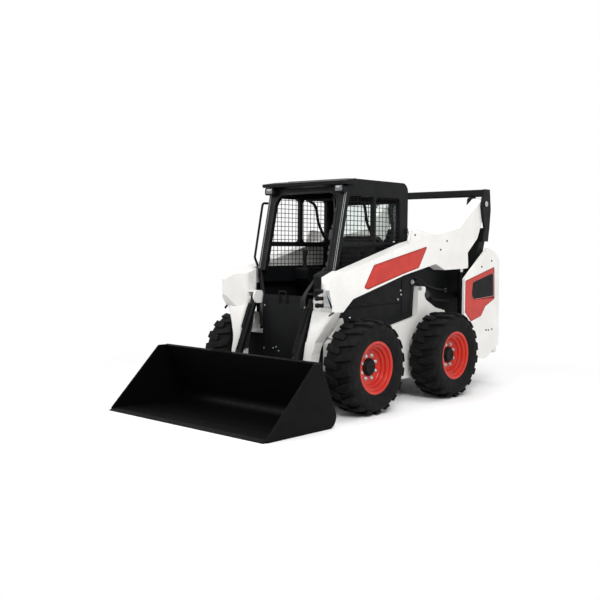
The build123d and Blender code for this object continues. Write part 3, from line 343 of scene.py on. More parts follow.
bm = bmesh.new()
bmesh.ops.create_cube(bm, size=1.0)
longEdges = [e for e in bm.edges if abs(e.verts[0].co.x - e.verts[1].co.x) > 0.5]
bmesh.ops.subdivide_edges(bm, edges=longEdges, cuts=9, use_grid_fill=True)
topEdges = [e for e in bm.edges if all(v.co.z > 0.4 for v in e.verts) and len(e.link_faces) == 2
            and e.calc_face_angle() > 0.5]
bmesh.ops.bevel(bm, geom=topEdges, offset=tyre["lugEdge"], segments=2, profile=0.5, affect="EDGES", material=-1)
lugShape = madeMesh("lugShape", bm)
half = tyre["side"]
carcassShape = spunShape("carcassShape", half + [(-x, r) for x, r in reversed(half)] + [half[0]], tyre["steps"])

bm = bmesh.new()
root, tip = tyre["reach"]
narrow, broad = tyre["width"]
for sign in (1, -1):
    for lug in range(tyre["lugs"]):
        turned = 2 * math.pi * (lug + (0.5 if sign < 0 else 0.0)) / tyre["lugs"]
        first = len(bm.verts)
        bm.from_mesh(lugShape)
        bm.verts.ensure_lookup_table()
        for v in bm.verts[first:]:
            share, sunk = v.co.x + 0.5, 0.5 - v.co.z
            wide = (narrow + share * (broad - narrow)) * (1 + tyre["draft"] * sunk)
            along = v.co.y * wide + tyre["slant"] * share ** tyre["curl"]
            v.co = tyrePoint(root + share * (tip - root), along, sunk * tyre["depth"], turned, sign)
bm.from_mesh(carcassShape)
tyreShape = madeMesh("tyreShape", bm)
for wheel, (x, y) in tyre["wheels"].items():
    bm = bmesh.new()
    stamp(bm, tyreShape, Matrix.Translation((x, y, tyre["axleHeight"])))
    keepPiece("treadTyre_" + wheel, bm, "tyreRubber", "wheel_" + wheel, "tyre_rubber", smooth=32,
              stands=("tyre_" + wheel,))
print("tyres made")

# stepped wheel discs, hub caps and wheel nuts
hub = {"nuts": {"x": 0.0370, "ring": 0.104, "count": 8, "start": 0.5, "size": 1.15},
       "capBolts": {"x": 0.0675, "ring": 0.042, "count": 6, "start": 0.0, "size": 0.45},
       "cap": [(0.030, 0.079), (0.046, 0.078), (0.051, 0.074), (0.053, 0.066), (0.064, 0.063), (0.068, 0.058),
               (0.068, 0.022), (0.065, 0.018), (0.065, 0.0)],
       "disc": [(0.0370, 0.050), (0.0370, 0.128), (0.0405, 0.133), (0.0405, 0.148), (0.0460, 0.153), (0.0660, 0.157),
                (0.0690, 0.162), (0.0690, 0.171), (0.0740, 0.176), (0.0960, 0.180), (0.0990, 0.185), (0.0990, 0.196),
                (0.1040, 0.201), (0.1230, 0.206), (0.1280, 0.213), (0.1300, 0.222), (0.1285, 0.229), (0.1100, 0.2285),
                (-0.1100, 0.2285), (-0.1285, 0.229), (-0.1300, 0.222), (-0.1280, 0.213), (-0.1000, 0.205),
                (0.0050, 0.198), (0.0180, 0.170), (0.0220, 0.125), (0.0220, 0.050), (0.0370, 0.050)],
       "capSteps": 48, "discSteps": 72}


def boltRing(bm, ring, turn):  # bolts round a wheel's axis
    for number in range(ring["count"]):
        angle = 2 * math.pi * (number + ring["start"]) / ring["count"]
        spot = (ring["x"], ring["ring"] * math.cos(angle), ring["ring"] * math.sin(angle))
        stampBolt(bm, spot, (1, 0, 0), ring["size"], turn)


capShape = spunShape("capShape", hub["cap"], hub["capSteps"])
discShape = spunShape("discShape", hub["disc"], hub["discSteps"])
for wheel, (x, y) in tyre["wheels"].items():
    turn = Matrix.Translation((x, y, tyre["axleHeight"])) @ Matrix.Rotation(0 if x > 0 else math.pi, 4, "Z")
    bm = bmesh.new()
    stamp(bm, capShape, turn)
    boltRing(bm, hub["capBolts"], turn)
    keepPiece("hubCap_" + wheel, bm, "blackPowderCoat", "wheel_" + wheel, "black_paint")
    bm = bmesh.new()
    stamp(bm, discShape, turn)
    keepPiece("wheelDisc_" + wheel, bm, "redEnamel", "wheel_" + wheel, "red_paint", smooth=20,
              stands=("rim_" + wheel,))
    bm = bmesh.new()
    boltRing(bm, hub["nuts"], turn)
    keepPiece("wheelNuts_" + wheel, bm, "zincPlate", "wheel_" + wheel, "chromed_rod", smooth=25)
print("hubs made")

# woven wire screens in the side windows, clipped to each opening
screen = {
    "rows": 0.042, "columns": 0.052, "wire": 0.0030, "weave": 0.0026, "x": 0.448, "margin": 0.008,
    "openings": [[(-0.4365, 1.480), (-0.346, 1.890), (0.0, 1.890), (0.0, 1.480)],
                 [(0.040, 1.480), (0.040, 1.890), (0.400, 1.890), (0.400, 1.480)],
                 [(-0.4873, 1.250), (-0.4453, 1.440), (0.400, 1.440), (0.400, 1.250)]],
}
bm = bmesh.new()
for outline in screen["openings"]:
    ys, zs = [p[0] for p in outline], [p[1] for p in outline]
    middle = Vector((0, (min(ys) + max(ys)) / 2, (min(zs) + max(zs)) / 2))
    wires = bmesh.new()
    for level, pitch, low, high in ((True, screen["rows"], min(zs), max(zs)),
                                    (False, screen["columns"], min(ys), max(ys))):
        for wire in range(int((high - low) / pitch) + 1):
            at = low + pitch * (wire + 0.5)
            if level:
                turn = Matrix.Translation((screen["x"] + screen["weave"], middle.y, at)) @ Matrix.Rotation(
                    math.pi / 2, 4, "X")
            else:
                turn = Matrix.Translation((screen["x"] - screen["weave"], at, middle.z))
            bmesh.ops.create_cone(wires, cap_ends=True, segments=8, radius1=screen["wire"], radius2=screen["wire"],
                                  depth=1.0, matrix=turn)
    for a, b in zip(outline, outline[1:] + outline[:1]):
        a, b = Vector((0, *a)), Vector((0, *b))
        out = (b - a).cross(Vector((1, 0, 0))).normalized()
        if out.dot(middle - a) > 0:
            out = -out
        bmesh.ops.bisect_plane(wires, geom=wires.verts[:] + wires.edges[:] + wires.faces[:],
                               plane_co=a + out * screen["margin"], plane_no=out, clear_outer=True)
    bmesh.ops.holes_fill(wires, edges=wires.edges, sides=12)
    stampBoth(bm, madeMesh("screenWires", wires), Matrix())
keepPiece("wireScreens", bm, "wireCoat", "chassis", "black_mesh", stands=("side_screens",))
print("screens made")


# coloured panels that fill the pressed recesses of the arms and the tail
def inlayPanel(bm, rings, x, thick, corner):
    side = bmesh.new()
    edges = []
    for ring in rings:
        verts = [side.verts.new((0, y, z)) for y, z in ring]
        edges += [side.edges.new(pair) for pair in zip(verts, verts[1:] + verts[:1])]
    bmesh.ops.triangle_fill(side, edges=edges, use_beauty=True)
    bmesh.ops.dissolve_limit(side, angle_limit=0.02, verts=side.verts, edges=side.edges)
    bmesh.ops.bevel(side, geom=side.verts[:], offset=corner, segments=4, profile=0.5, affect="VERTICES", material=-1)
    bmesh.ops.triangulate(side, faces=side.faces)
    grown = bmesh.ops.extrude_face_region(side, geom=side.faces[:])["geom"]
    bmesh.ops.translate(side, verts=[v for v in grown if isinstance(v, bmesh.types.BMVert)], vec=(thick, 0, 0))
    stampBoth(bm, madeMesh("panelSide", side), Matrix.Translation((x, 0, 0)))


def shrinkOutline(outline, by):  # every edge of an outline moved inwards
    points = [Vector(p) for p in outline]
    area = sum(a.x * b.y - b.x * a.y for a, b in zip(points, points[1:] + points[:1]))
    moved = []
    for before, corner, after in zip(points[-1:] + points[:-1], points, points[1:] + points[:1]):
        one, other = [Vector((-d.y, d.x)) * math.copysign(1, area) for d in
                      ((corner - before).normalized(), (after - corner).normalized())]
        moved.append(tuple(corner + (one + other) / (1 + one.dot(other)) * by))
    return moved


panels = {
    "arm": [(-0.359, 1.080), (-0.221, 1.2765), (0.614, 1.446), (0.476, 1.244), (0.230, 1.192), (-0.303, 1.062)],
    "tail": [(1.2165, 1.104), (1.785, 1.237), (1.799, 0.904), (1.616, 0.833), (1.536, 0.738), (1.335, 0.690),
             (1.2205, 0.791)],
    "inset": [(1.366, 1.085), (1.772, 1.1755), (1.782, 0.933), (1.384, 0.913), (1.345, 0.962)],
    "insetFill": [(1.368, 1.083), (1.770, 1.173), (1.780, 0.935), (1.386, 0.915), (1.347, 0.962)],
    "armBorder": 0.013, "tailBorder": 0.012, "insetBorder": 0.008,
}
armInner = shrinkOutline(panels["arm"], panels["armBorder"])
tailInner = shrinkOutline(panels["tail"], panels["tailBorder"])
insetOuter = shrinkOutline(panels["inset"], -panels["insetBorder"])
# the border rings take the shaded enamel: painted shade on each panel's sloping rim
for name, rings, x, thick, corner, finish, body, slot in (
        ("armPanelBorders", [panels["arm"]], 0.6462, 0.0022, 0.012, "shadedEnamel", "lift_arms", "red_paint"),
        ("armPanels", [armInner], 0.6475, 0.0016, 0.012, "redEnamel", "lift_arms", "red_paint"),
        ("tailPanelBorders", [panels["tail"], panels["inset"]], 0.6982, 0.0020, 0.014, "shadedEnamel", "chassis",
         "red_paint"),
        ("tailPanels", [tailInner, insetOuter], 0.6994, 0.0016, 0.012, "redEnamel", "chassis", "red_paint"),
        ("tailInsets", [panels["insetFill"]], 0.6942, 0.0022, 0.018, "mouldedPlastic", "chassis", "black_plastic")):
    bm = bmesh.new()
    inlayPanel(bm, rings, x, thick, corner)
    keepPiece(name, bm, finish, body, slot)
print("panels made")


def bakedMesh(piece):  # mesh as the modifiers leave it, which are then taken off
    mesh = bpy.data.meshes.new_from_object(piece.evaluated_get(bpy.context.evaluated_depsgraph_get()))
    piece.modifiers.clear()
    return mesh


# padded seat: the CAD pads made a little smaller, then swollen as foam under its cover
pads = {"nodes": {"seatPad": "seat_cushion", "backPad": "seat_back"}, "shrink": 0.965, "voxel": 0.008,
        "pressure": 4.0, "frames": 20, "swell": 0.010}
for name, node in pads["nodes"].items():
    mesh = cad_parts[node].data.copy()
    mesh.name = name
    piece = bpy.data.objects.new(name, mesh)
    scene.collection.objects.link(piece)
    bm = bmesh.new()
    bm.from_mesh(mesh)
    bmesh.ops.remove_doubles(bm, verts=bm.verts, dist=1e-5)
    middle = sum((v.co for v in bm.verts), Vector()) / len(bm.verts)
    for v in bm.verts:
        v.co = middle + (v.co - middle) * pads["shrink"]
    bm.to_mesh(mesh)
    bm.free()
    remesh = piece.modifiers.new("remesh", "REMESH")
    remesh.mode, remesh.voxel_size = "VOXEL", pads["voxel"]
    piece.data = bakedMesh(piece)
    start = [v.co.copy() for v in piece.data.vertices]
    cloth = piece.modifiers.new("cloth", "CLOTH")
    cloth.settings.use_pressure = True
    cloth.settings.uniform_pressure_force = pads["pressure"]
    cloth.settings.effector_weights.gravity = 0.0
    for number in range(pads["frames"]):
        scene.frame_set(number + 1)
    swollen = bakedMesh(piece)
    scene.frame_set(1)
    for v, before in zip(swollen.vertices, start):
        moved = v.co - before
        if moved.length > pads["swell"]:
            v.co = before + moved.normalized() * pads["swell"]
    piece.data = swollen
    divide = piece.modifiers.new("subdivision", "SUBSURF")
    divide.levels = divide.render_levels = 1
    piece.data.materials.clear()
    piece.data.materials.append(finishes["seatVinyl"])
    piece.data.shade_smooth()
    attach(piece, "chassis")
    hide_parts(node)
print("seat made")

# rubber seal round the cab's entry, pale strips on the pillars as painted highlights of their edges, and a wire
# harness up the left one
entry = {"foot": Vector((0, -0.545, 1.215)), "up": Vector((0, 0.2156, 0.9765)), "out": Vector((0, -0.9765, 0.2156)),
         "half": 0.382, "top": 0.7305, "corner": 0.130, "seal": 0.0070}


def onEntry(x, rise, off):
    return entry["foot"] + Vector((x, 0, 0)) + entry["up"] * rise + entry["out"] * off


bm = bmesh.new()
doorway = [(-entry["half"], 0.0), (-entry["half"], entry["top"]), (entry["half"], entry["top"]), (entry["half"], 0.0)]
sweepTube(bm, bendPath([onEntry(x, rise, 0.002) for x, rise in doorway], entry["corner"], 12), entry["seal"])
keepPiece("entrySeal", bm, "hoseCover", "chassis", "black_plastic")
# pale strips standing as painted highlights along the pillar edges
highlightStrips = {"x": (-0.466, -0.448, 0.448, 0.466), "low": 0.015, "high": 0.742, "thick": 0.0030}
bm = bmesh.new()
for x in highlightStrips["x"]:
    sweepTube(bm, [onEntry(x, highlightStrips["low"], 0.0), onEntry(x, highlightStrips["high"], 0.0)], highlightStrips["thick"], 8)
keepPiece("pillarHighlightStrips", bm, "brightTrimAndHighlight", "chassis", "white_paint")
harness = {"x": 0.362, "clips": (0.07, 0.17, 0.22, 0.41, 0.56), "latch": 0.335, "thick": 0.007, "bend": 0.05,
           "way": ((0.0, 0.02, -0.012), (0.004, 0.30, -0.010), (-0.004, 0.55, -0.012), (-0.05, 0.69, -0.016))}
bm = bmesh.new()
way = [onEntry(harness["x"] + across, rise, off) for across, rise, off in harness["way"]]
sweepTube(bm, bendPath(way, harness["bend"]), harness["thick"])
keepPiece("pillarHarness", bm, "hoseCover", "chassis", "black_plastic")
clip = plateShape("clip", oblong(0.026, 0.032), 0.012, 0.004, 0.002)
latch = plateShape("latch", oblong(0.040, 0.090), 0.022, 0.008, 0.003)
lean = Matrix((Vector((1, 0, 0)), entry["up"], entry["out"])).transposed().to_4x4()
bm = bmesh.new()
for rise in harness["clips"]:
    stamp(bm, clip, Matrix.Translation(onEntry(harness["x"] + 0.004, rise, -0.012)) @ lean)
stamp(bm, latch, Matrix.Translation(onEntry(harness["x"] + 0.002, harness["latch"], -0.014)) @ lean)
keepPiece("harnessClips", bm, "castIron", "chassis", "engine_iron")
print("cab trim made")

# work lamps: a ribbed lens in a raised bezel on each housing
workLamp = {"x": 0.425, "y": -0.446, "z": 1.9495, "wide": 0.046, "high": 0.0285, "lens": (0.080, 0.045),
            "corner": 0.010, "bezel": 0.004}
bm = bmesh.new()
bezels = bmesh.new()
lensFace = plateShape("lensFace", oblong(*workLamp["lens"]), 0.004, workLamp["corner"], 0.0018)
wide, high = workLamp["wide"], workLamp["high"]
for x in (workLamp["x"], -workLamp["x"]):
    stamp(bm, lensFace, Matrix.Translation((x, 0, workLamp["z"])) @ onFront(workLamp["y"]))
    around = [(x + u, workLamp["y"] - 0.001, workLamp["z"] + v) for u, v in
              ((0, high), (wide, high), (wide, -high), (-wide, -high), (-wide, high), (0, high))]
    sweepTube(bezels, bendPath(around, workLamp["corner"]), workLamp["bezel"], 8)
keepPiece("lampLenses", bm, "lampLens", "chassis", "lamp_lens")
keepPiece("lampBezels", bezels, "mouldedPlastic", "chassis", "black_plastic")

# seat bar folded up over the seat, and the two control grips
seatBar = {"x": 0.300, "arm": [(0.36, 1.46), (0.22, 1.52), (0.12, 1.66), (0.08, 1.84), (-0.05, 1.885)],
           "bend": 0.05, "armThick": 0.014, "barThick": 0.017}
bm = bmesh.new()
for x in (seatBar["x"], -seatBar["x"]):
    sweepTube(bm, bendPath([(x, y, z) for y, z in seatBar["arm"]], seatBar["bend"]), seatBar["armThick"], 12)
sweepTube(bm, [(x, *seatBar["arm"][-1]) for x in (-seatBar["x"], seatBar["x"])], seatBar["barThick"], 12)
keepPiece("seatBar", bm, "blackPowderCoat", "chassis", "black_paint")
grip = {"places": ((0.345, -0.030, 1.285), (-0.345, -0.030, 1.285)), "lean": -8,
        "profile": [(0.0, 0.013), (0.010, 0.020), (0.035, 0.018), (0.070, 0.021), (0.100, 0.024), (0.115, 0.020),
                    (0.121, 0.0)]}
bm = bmesh.new()
gripShape = spunShape("gripShape", grip["profile"], 20)
for place in grip["places"]:
    stamp(bm, gripShape, Matrix.Translation(place) @ Matrix.Rotation(math.radians(grip["lean"]), 4, "X")
          @ Matrix.Rotation(-math.pi / 2, 4, "Y"))
keepPiece("controlGrips", bm, "mouldedPlastic", "chassis", "black_plastic")
print("cab fittings made")

# clevis ears round the tilt pins, with the bridge plate that ties each to its arm
clevis = {"x": 0.298, "thick": 0.020, "bridgeThick": 0.014, "bridgeLow": 1.018,
          "ear": [(-0.766, 0.965), (-0.760, 1.010), (-0.735, 1.032), (-0.670, 1.032), (-0.644, 1.010),
                  (-0.638, 0.950), (-0.665, 0.918), (-0.735, 0.918)],
          "bridge": [(0.300, -0.745), (0.412, -0.735), (0.412, -0.660), (0.300, -0.655)]}
earShape = plateShape("earShape", clevis["ear"], clevis["thick"], 0.016, 0.002)
bridgeShape = plateShape("bridgeShape", clevis["bridge"], clevis["bridgeThick"], 0.004, 0.002)
for name, sign, finish, slot in (("Left", 1, "blackPowderCoat", "black_paint"),
                                 ("Right", -1, "whitePowderCoat", "white_paint")):
    bm = bmesh.new()
    stamp(bm, earShape, onSide(clevis["x"], sign))
    stamp(bm, bridgeShape, Matrix.Scale(sign, 4, (1, 0, 0)) @ Matrix.Translation((0, 0, clevis["bridgeLow"])))
    keepPiece("tiltClevis" + name, bm, finish, "lift_arms", slot)

# hard lines down the inside of each leg, behind the tilt cylinder
legLines = {"x": 0.388, "count": 3, "apart": 0.024, "thick": 0.0105, "bend": 0.040,
            "way": [(-0.692, 0.915), (-0.692, 0.760), (-0.728, 0.640), (-0.766, 0.500)]}
bm = bmesh.new()
for x in (legLines["x"], -legLines["x"]):
    for number in range(legLines["count"]):
        way = [(x, y - number * legLines["apart"], z) for y, z in legLines["way"]]
        sweepTube(bm, bendPath(way, legLines["bend"]), legLines["thick"])
keepPiece("legLines", bm, "hoseCover", "lift_arms", "black_paint")

# white front uprights of the frame beside the arm legs
upright = {"x": 0.485, "thick": 0.060,
           "outline": [(-0.664, 0.648), (-0.640, 0.700), (-0.622, 0.745), (-0.622, 0.800), (-0.608, 0.818),
                       (-0.517, 0.819), (-0.490, 0.735), (-0.500, 0.645)]}
bm = bmesh.new()
uprightShape = plateShape("uprightShape", upright["outline"], upright["thick"], 0.008, 0.003)
for sign in (1, -1):
    stamp(bm, uprightShape, onSide(upright["x"], sign))
keepPiece("frontUprights", bm, "whitePowderCoat", "chassis", "white_paint")

# steel lines along the tilt cylinders, bent into the barrel at each port
tiltLine = {"x": 0.350, "head": Vector((0, -0.702, 0.960)), "down": Vector((0, -0.387, -0.922)),
            "out": Vector((0, -0.922, 0.387)), "port": 0.034, "stand": 0.049, "bend": 0.012, "thick": 0.0065,
            "runs": ((0.075, 0.30, 0.008), (0.075, 0.50, -0.012))}
bm = bmesh.new()
for sign in (1, -1):
    for start, stop, across in tiltLine["runs"]:
        side = tiltLine["head"] + Vector((sign * (tiltLine["x"] + across), 0, 0))
        way = [side + tiltLine["down"] * along + tiltLine["out"] * tiltLine[off] for along, off in
               ((start, "port"), (start, "stand"), (stop, "stand"), (stop, "port"))]
        sweepTube(bm, bendPath(way, tiltLine["bend"], 4), tiltLine["thick"])
keepPiece("tiltLines", bm, "blackPowderCoat", "tilt_barrels", "black_paint")
print("arm fittings made")

# auxiliary couplers on the slanted front of the left knee, with their guard plate, and in each knee a thin black
# plate that is the painted shade of a slot
aux = {"places": ((0.592, -0.862, 0.945), (0.592, -0.868, 1.005), (0.592, -0.872, 1.065)), "turn": -135,
       "coupler": [(-0.020, 0.0), (-0.020, 0.017), (0.018, 0.017), (0.020, 0.021), (0.040, 0.021), (0.042, 0.017),
                   (0.052, 0.016), (0.054, 0.0)],
       "plate": [(-0.885, 0.930), (-0.893, 1.050), (-0.880, 1.073), (-0.830, 1.073), (-0.794, 0.930),
                 (-0.800, 0.918)],
       "plateX": 0.6495, "plateThick": 0.004, "boltSize": 0.55,
       "bolts": ((-0.868, 0.950), (-0.872, 0.990), (-0.874, 1.030), (-0.845, 1.050), (-0.835, 0.945))}
bm = bmesh.new()
couplerShape = spunShape("couplerShape", aux["coupler"], 20)
for place in aux["places"]:
    stamp(bm, couplerShape, Matrix.Translation(place) @ Matrix.Rotation(math.radians(aux["turn"]), 4, "Z"))
keepPiece("auxCouplers", bm, "blackPowderCoat", "lift_arms", "black_paint")
bm = bmesh.new()
stamp(bm, plateShape("couplerGuard", aux["plate"], aux["plateThick"], 0.008, 0.001), onSide(aux["plateX"]))
for y, z in aux["bolts"]:
    stampBolt(bm, (aux["plateX"] + aux["plateThick"], y, z), (1, 0, 0), aux["boltSize"])
keepPiece("couplerGuard", bm, "brightTrimAndHighlight", "lift_arms", "white_paint")
# the slot is no opening but a black plate: painted shade of a slot's depth
kneeSlot = {"size": (0.060, 0.020), "place": (0.6412, -0.791, 0.871), "turn": 35}
bm = bmesh.new()
slotShadeShape = plateShape("slotShadeShape", oblong(*kneeSlot["size"]), 0.0016, 0.009, 0.0005)
facing = Matrix(((0, 0.527, 0.850), (1, 0, 0), (0, 0.850, -0.527))).to_4x4()  # out of the knee's lower slope
stampBoth(bm, slotShadeShape, Matrix.Translation(kneeSlot["place"]) @ facing
          @ Matrix.Rotation(math.radians(kneeSlot["turn"]), 4, "Z"))
keepPiece("kneeSlotShades", bm, "blackPowderCoat", "lift_arms", "black_paint")

# black guard over the left knee's inner top corner, cut from the arm's own surface; its black is partly a real bar
# and partly painted shade
guardShade = {"out": 0.524, "in": 0.300, "back": -0.640, "low": (0.520, 1.040), "slope": 0.45, "lift": 0.0012}
skin = bmesh.new()
skin.from_mesh(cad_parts["lift_arms"].data)
bmesh.ops.remove_doubles(skin, verts=skin.verts, dist=1e-5)
under = Vector((guardShade["slope"], 0, -1)).normalized()
for spot, away in (((guardShade["out"], 0, 0), (1, 0, 0)), ((guardShade["in"], 0, 0), (-1, 0, 0)),
                   ((0, guardShade["back"], 0), (0, 1, 0)), ((guardShade["low"][0], 0, guardShade["low"][1]), under)):
    bmesh.ops.bisect_plane(skin, geom=skin.verts[:] + skin.edges[:] + skin.faces[:], plane_co=spot, plane_no=away,
                           clear_outer=True)
skin.normal_update()
bmesh.ops.solidify(skin, geom=skin.faces[:], thickness=-guardShade["lift"])
keepPiece("kneeGuardShade", skin, "blackPowderCoat", "lift_arms", "black_paint")

# hard lines down the inside of the left knee to the tilt cylinder
feed = {"x": 0.383, "thick": 0.013, "bend": 0.030, "thin": 0.008, "thinBend": 0.020,
        "thinOff": (-0.022, -0.006, -0.012),
        "way": [(-0.575, 1.245), (-0.680, 1.165), (-0.800, 1.055), (-0.850, 0.985), (-0.842, 0.925)]}
bm = bmesh.new()
way = [Vector((feed["x"], y, z)) for y, z in feed["way"]]
sweepTube(bm, bendPath(way, feed["bend"]), feed["thick"], 12)
sweepTube(bm, bendPath([point + Vector(feed["thinOff"]) for point in way[1:]], feed["thinBend"]), feed["thin"])
keepPiece("kneeLines", bm, "hoseCover", "lift_arms", "black_paint")
print("knees made")

# fastening on both flanks: covers, window rail, tail and arms
flankBolt = 0.62  # size against the bolt above
bolts = {
    "coverBolts": {"x": 0.5125, "look": ("zincPlate", "chassis", "chromed_rod"),
                   "places": ((0.375, 1.028), (0.383, 0.989), (0.333, 0.944), (-0.385, 0.812), (0.434, 0.723))},
    "railBolts": {"x": 0.4705, "look": ("blackPowderCoat", "chassis", "black_paint"),
                  "places": ((-0.440, 1.460), (-0.200, 1.460), (0.020, 1.460), (0.200, 1.460), (0.380, 1.460))},
    "tailBolts": {"x": 0.7015, "look": ("blackPowderCoat", "chassis", "black_paint"),
                  "places": ((1.524, 1.242), (1.722, 1.301), (1.633, 0.584), (1.684, 0.580), (1.752, 0.585))},
    "armBolts": {"x": 0.6495, "look": ("blackPowderCoat", "lift_arms", "black_paint"),
                 "places": ((0.401, 1.550), (0.947, 1.500), (0.837, 1.415))},
}
for name, row in bolts.items():
    bm = bmesh.new()
    for y, z in row["places"]:
        for sign in (1, -1):
            stampBolt(bm, (sign * row["x"], y, z), (sign, 0, 0), flankBolt)
    keepPiece(name, bm, *row["look"], smooth=25)

# serrated step on the bucket's lip and the plough bolts of its cutting edge
lip = {"from": -0.321, "to": -0.056, "teeth": 11, "y": -1.268, "low": 0.515, "high": 0.543, "thick": 0.006,
       "tooth": ((0.10, 0.009), (0.35, 0.0), (0.65, 0.0), (0.90, 0.009)),
       "boltFrom": (-0.84, -1.745, 0.0195), "boltPitch": (0.24, 0, 0), "bolts": 8, "boltSize": 0.7}
pitch = (lip["to"] - lip["from"]) / lip["teeth"]
teeth = [(lip["from"] + pitch * (n + share), lip["high"] - drop) for n in range(lip["teeth"])
         for share, drop in lip["tooth"]]
outline = [(lip["from"], lip["low"])] + teeth + [(lip["to"], lip["low"])]
bm = bmesh.new()
stamp(bm, plateShape("stepPlate", outline, lip["thick"], 0, 0.0008), onFront(lip["y"]))
keepPiece("lipStep", bm, "bucketPaint", "bucket", "bucket_black")
places = [Vector(lip["boltFrom"]) + Vector(lip["boltPitch"]) * n for n in range(lip["bolts"])]
boltRow("edgeBolts", places, (0, 0, 1), lip["boltSize"], "bucketPaint", "bucket", "bucket_black")

# pull handle and bolts of the front access panel
handle = {"x": (-0.055, 0.032), "z": (0.932, 1.035), "y": -0.692, "panelY": -0.676, "bend": 0.004, "thick": 0.006,
          "boltY": -0.6795, "boltSize": 0.55,
          "bolts": ((-0.252, 0.506), (-0.138, 0.513), (-0.101, 0.526), (-0.068, 0.492), (0.120, 0.513),
                    (0.252, 0.506), (-0.245, 0.900), (0.245, 0.900))}
bm = bmesh.new()
near, far = handle["x"]
low, high = handle["z"]
loop = [(near, handle["panelY"], low), (near, handle["y"], low + 0.004), (near, handle["y"], high),
        (far, handle["y"], high), (far, handle["y"], low + 0.004), (far, handle["panelY"], low)]
sweepTube(bm, bendPath(loop, handle["bend"], 3), handle["thick"])
keepPiece("panelHandle", bm, "blackPowderCoat", "chassis", "black_paint")
places = [(x, handle["boltY"], z) for x, z in handle["bolts"]]
boltRow("panelBolts", places, (0, -1, 0), handle["boltSize"], "zincPlate", "chassis", "chromed_rod")

# pressed ridge and rear seam of the side covers
cover = {"x": 0.5105, "ridge": [(-0.425, 0.895), (0.378, 0.916)], "ridgeThick": 0.007,
         "seam": [(0.399, 0.700), (0.399, 1.150)], "seamThick": 0.004}
bm = bmesh.new()
for x in (cover["x"], -cover["x"]):
    for name in ("ridge", "seam"):
        sweepTube(bm, [(x, y, z) for y, z in cover[name]], cover[name + "Thick"], 12)
keepPiece("coverRidges", bm, "blackPowderCoat", "chassis", "black_paint")

# paddle latch of the rear door
doorLatch = {"place": (0.405, 1.8875, 0.900), "plate": oblong(0.056, 0.120),
             "paddle": [(-0.018, -0.034), (0.018, -0.034), (0.018, 0.040), (-0.018, 0.040)]}
bm = bmesh.new()
backwards = Matrix.Translation(doorLatch["place"]) @ Matrix(((-1, 0, 0), (0, 0, 1), (0, 1, 0))).to_4x4()
stamp(bm, plateShape("latchPlate", doorLatch["plate"], 0.005, 0.012, 0.0015), backwards)
stamp(bm, plateShape("latchPaddle", doorLatch["paddle"], 0.010, 0.007, 0.002), backwards)
keepPiece("doorLatch", bm, "mouldedPlastic", "rear_door", "black_plastic")

# strut at each rear corner of the cab
strut = {"x": 0.480, "top": (0.545, 1.588), "low": (0.452, 1.335), "split": 0.45, "barrel": 0.0095, "rod": 0.0045,
         "tabX": 0.468, "tabs": ((0.512, 1.590), (0.452, 1.335))}
bm = bmesh.new()
rods = bmesh.new()
tab = plateShape("tab", oblong(0.040, 0.052), 0.012, 0.008, 0.002)
for sign in (1, -1):
    top, foot = Vector((sign * strut["x"], *strut["top"])), Vector((sign * strut["x"], *strut["low"]))
    middle = top.lerp(foot, strut["split"])
    sweepTube(bm, [middle, foot], strut["barrel"], 12)
    sweepTube(rods, [top, middle], strut["rod"], 10)
    for y, z in strut["tabs"]:
        stamp(bm, tab, onSide(strut["tabX"], sign) @ Matrix.Translation((y, z, 0)))
keepPiece("cabStruts", bm, "blackPowderCoat", "chassis", "black_paint")
keepPiece("strutRods", rods, "chromedRod", "chassis", "chromed_rod")

# plumbing in the bay behind the side covers, and the caps of the link pins
bay = {"x": 0.528, "apart": 0.022, "bend": 0.025, "thick": 0.0095,
       "pipes": [[(0.600, 1.118), (0.672, 1.095), (0.775, 1.030), (0.860, 0.960), (0.905, 0.922), (1.190, 0.897)],
                 [(0.600, 1.150), (0.690, 1.125), (0.820, 1.060), (1.000, 1.020), (1.180, 1.006)]],
       "fittings": [(0.488, 1.180, 1.006), (0.512, 0.560, 1.104), (0.545, 0.648, 1.040)],
       "fitting": [(-0.004, 0.0), (-0.004, 0.021), (0.006, 0.022), (0.008, 0.015), (0.018, 0.014), (0.020, 0.0)],
       "boss": [(-0.030, 0.0), (-0.030, 0.030), (0.006, 0.036), (0.012, 0.034), (0.013, 0.020), (0.009, 0.018),
                (0.009, 0.0)],
       "bossPlace": (0.545, 0.766, 0.975), "pin": (0.6875, 1.620, 1.886), "pinScale": (0.2, 1.3, 1.3, 1)}
bm = bmesh.new()
for sign in (1, -1):
    for number, pipe in enumerate(bay["pipes"]):
        way = [(sign * (bay["x"] - bay["apart"] * number), y, z) for y, z in pipe]
        sweepTube(bm, bendPath(way, bay["bend"]), bay["thick"])
keepPiece("bayPipes", bm, "hoseCover", "chassis", "black_plastic")
fittingShape = spunShape("fittingShape", bay["fitting"], 24)
bm = bmesh.new()
for place in bay["fittings"]:
    stampBoth(bm, fittingShape, Matrix.Translation(place))
keepPiece("bayFittings", bm, "zincPlate", "chassis", "chromed_rod")
bm = bmesh.new()
stampBoth(bm, spunShape("bossShape", bay["boss"], 24), Matrix.Translation(bay["bossPlace"]))
keepPiece("bayBosses", bm, "castIron", "chassis", "engine_iron")
bm = bmesh.new()
stampBoth(bm, fittingShape, Matrix.Translation(bay["pin"]) @ Matrix.Diagonal(bay["pinScale"]))
keepPiece("linkPins", bm, "zincPlate", "rear_links", "chromed_rod")
print("trim made")


def seenRays(tree):  # 1 for rays that show the background, straight or in metal and glass
    rays = addNode(tree, "LightPath").outputs
    seen = rays["Is Camera Ray"]
    for kind in ("Is Glossy Ray", "Is Transmission Ray"):
        seen = addNode(tree, "Math", {0: seen, 1: rays[kind]}, operation="MAXIMUM").outputs["Value"]
    return seen


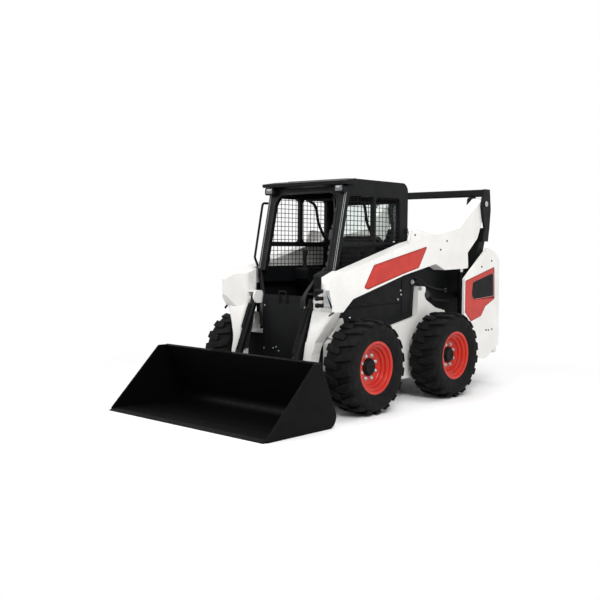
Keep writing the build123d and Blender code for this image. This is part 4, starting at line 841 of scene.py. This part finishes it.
# plain studio: pale floor that fades to white, white backdrop, soft lamps
stage = {"floor": 24.0, "drop": -0.0005, "fade": (2.3, 4.2), "world": 0.56, "aim": Vector((0, 0, 0.8))}
bm = bmesh.new()
bmesh.ops.create_circle(bm, cap_ends=True, segments=96, radius=stage["floor"])
bmesh.ops.translate(bm, verts=bm.verts, vec=(0, 0, stage["drop"]))
floor = bpy.data.objects.new("studioFloor", madeMesh("studioFloor", bm))
scene.collection.objects.link(floor)
paper = bpy.data.materials.new("studioPaper")
paper.use_nodes = True
tree = paper.node_tree
paperShader = tree.nodes["Principled BSDF"]
paperShader.inputs["Base Color"].default_value = hexColour("#f7f7f7")
paperShader.inputs["Roughness"].default_value = 0.9
paperShader.inputs["Specular IOR Level"].default_value = 0.1
place = addNode(tree, "TexCoord").outputs["Object"]
apart = addNode(tree, "VectorMath", {0: place}, operation="LENGTH").outputs["Value"]
fade = addNode(tree, "MapRange", {"Value": apart, "From Min": stage["fade"][0],
                                  "From Max": stage["fade"][1]}).outputs["Result"]
blank = addNode(tree, "Math", {0: fade, 1: seenRays(tree)}, operation="MULTIPLY").outputs["Value"]
white = addNode(tree, "Emission", {"Color": (1, 1, 1, 1), "Strength": 1.0}).outputs["Emission"]
mixed = addNode(tree, "MixShader", {0: blank, 1: paperShader.outputs["BSDF"], 2: white}).outputs["Shader"]
tree.links.new(mixed, tree.nodes["Material Output"].inputs["Surface"])
floor.data.materials.append(paper)

world = bpy.data.worlds.new("studio")
world.use_nodes = True
scene.world = world
tree = world.node_tree
shown = addNode(tree, "Background", {"Color": (1, 1, 1, 1), "Strength": 1.0}).outputs["Background"]
lit = addNode(tree, "Background", {"Color": (1, 1, 1, 1), "Strength": stage["world"]}).outputs["Background"]
mixed = addNode(tree, "MixShader", {0: seenRays(tree), 1: lit, 2: shown}).outputs["Shader"]
tree.links.new(mixed, tree.nodes["World Output"].inputs["Surface"])

lamps = {
    "key": {"place": (5.5, -4.0, 6.5), "size": 4.0, "power": 430},
    "fill": {"place": (-5.0, -6.5, 4.5), "size": 4.0, "power": 150},
    "top": {"place": (0.5, 1.5, 7.5), "size": 5.0, "power": 215},
}
for name, lamp in lamps.items():
    light = bpy.data.lights.new(name, "AREA")
    light.shape, light.size, light.energy = "DISK", lamp["size"], lamp["power"]
    holder = bpy.data.objects.new(name, light)
    holder.location = lamp["place"]
    holder.rotation_euler = (stage["aim"] - holder.location).to_track_quat("-Z", "Y").to_euler()
    scene.collection.objects.link(holder)
scene.view_settings.view_transform = "Standard"
print("studio set")
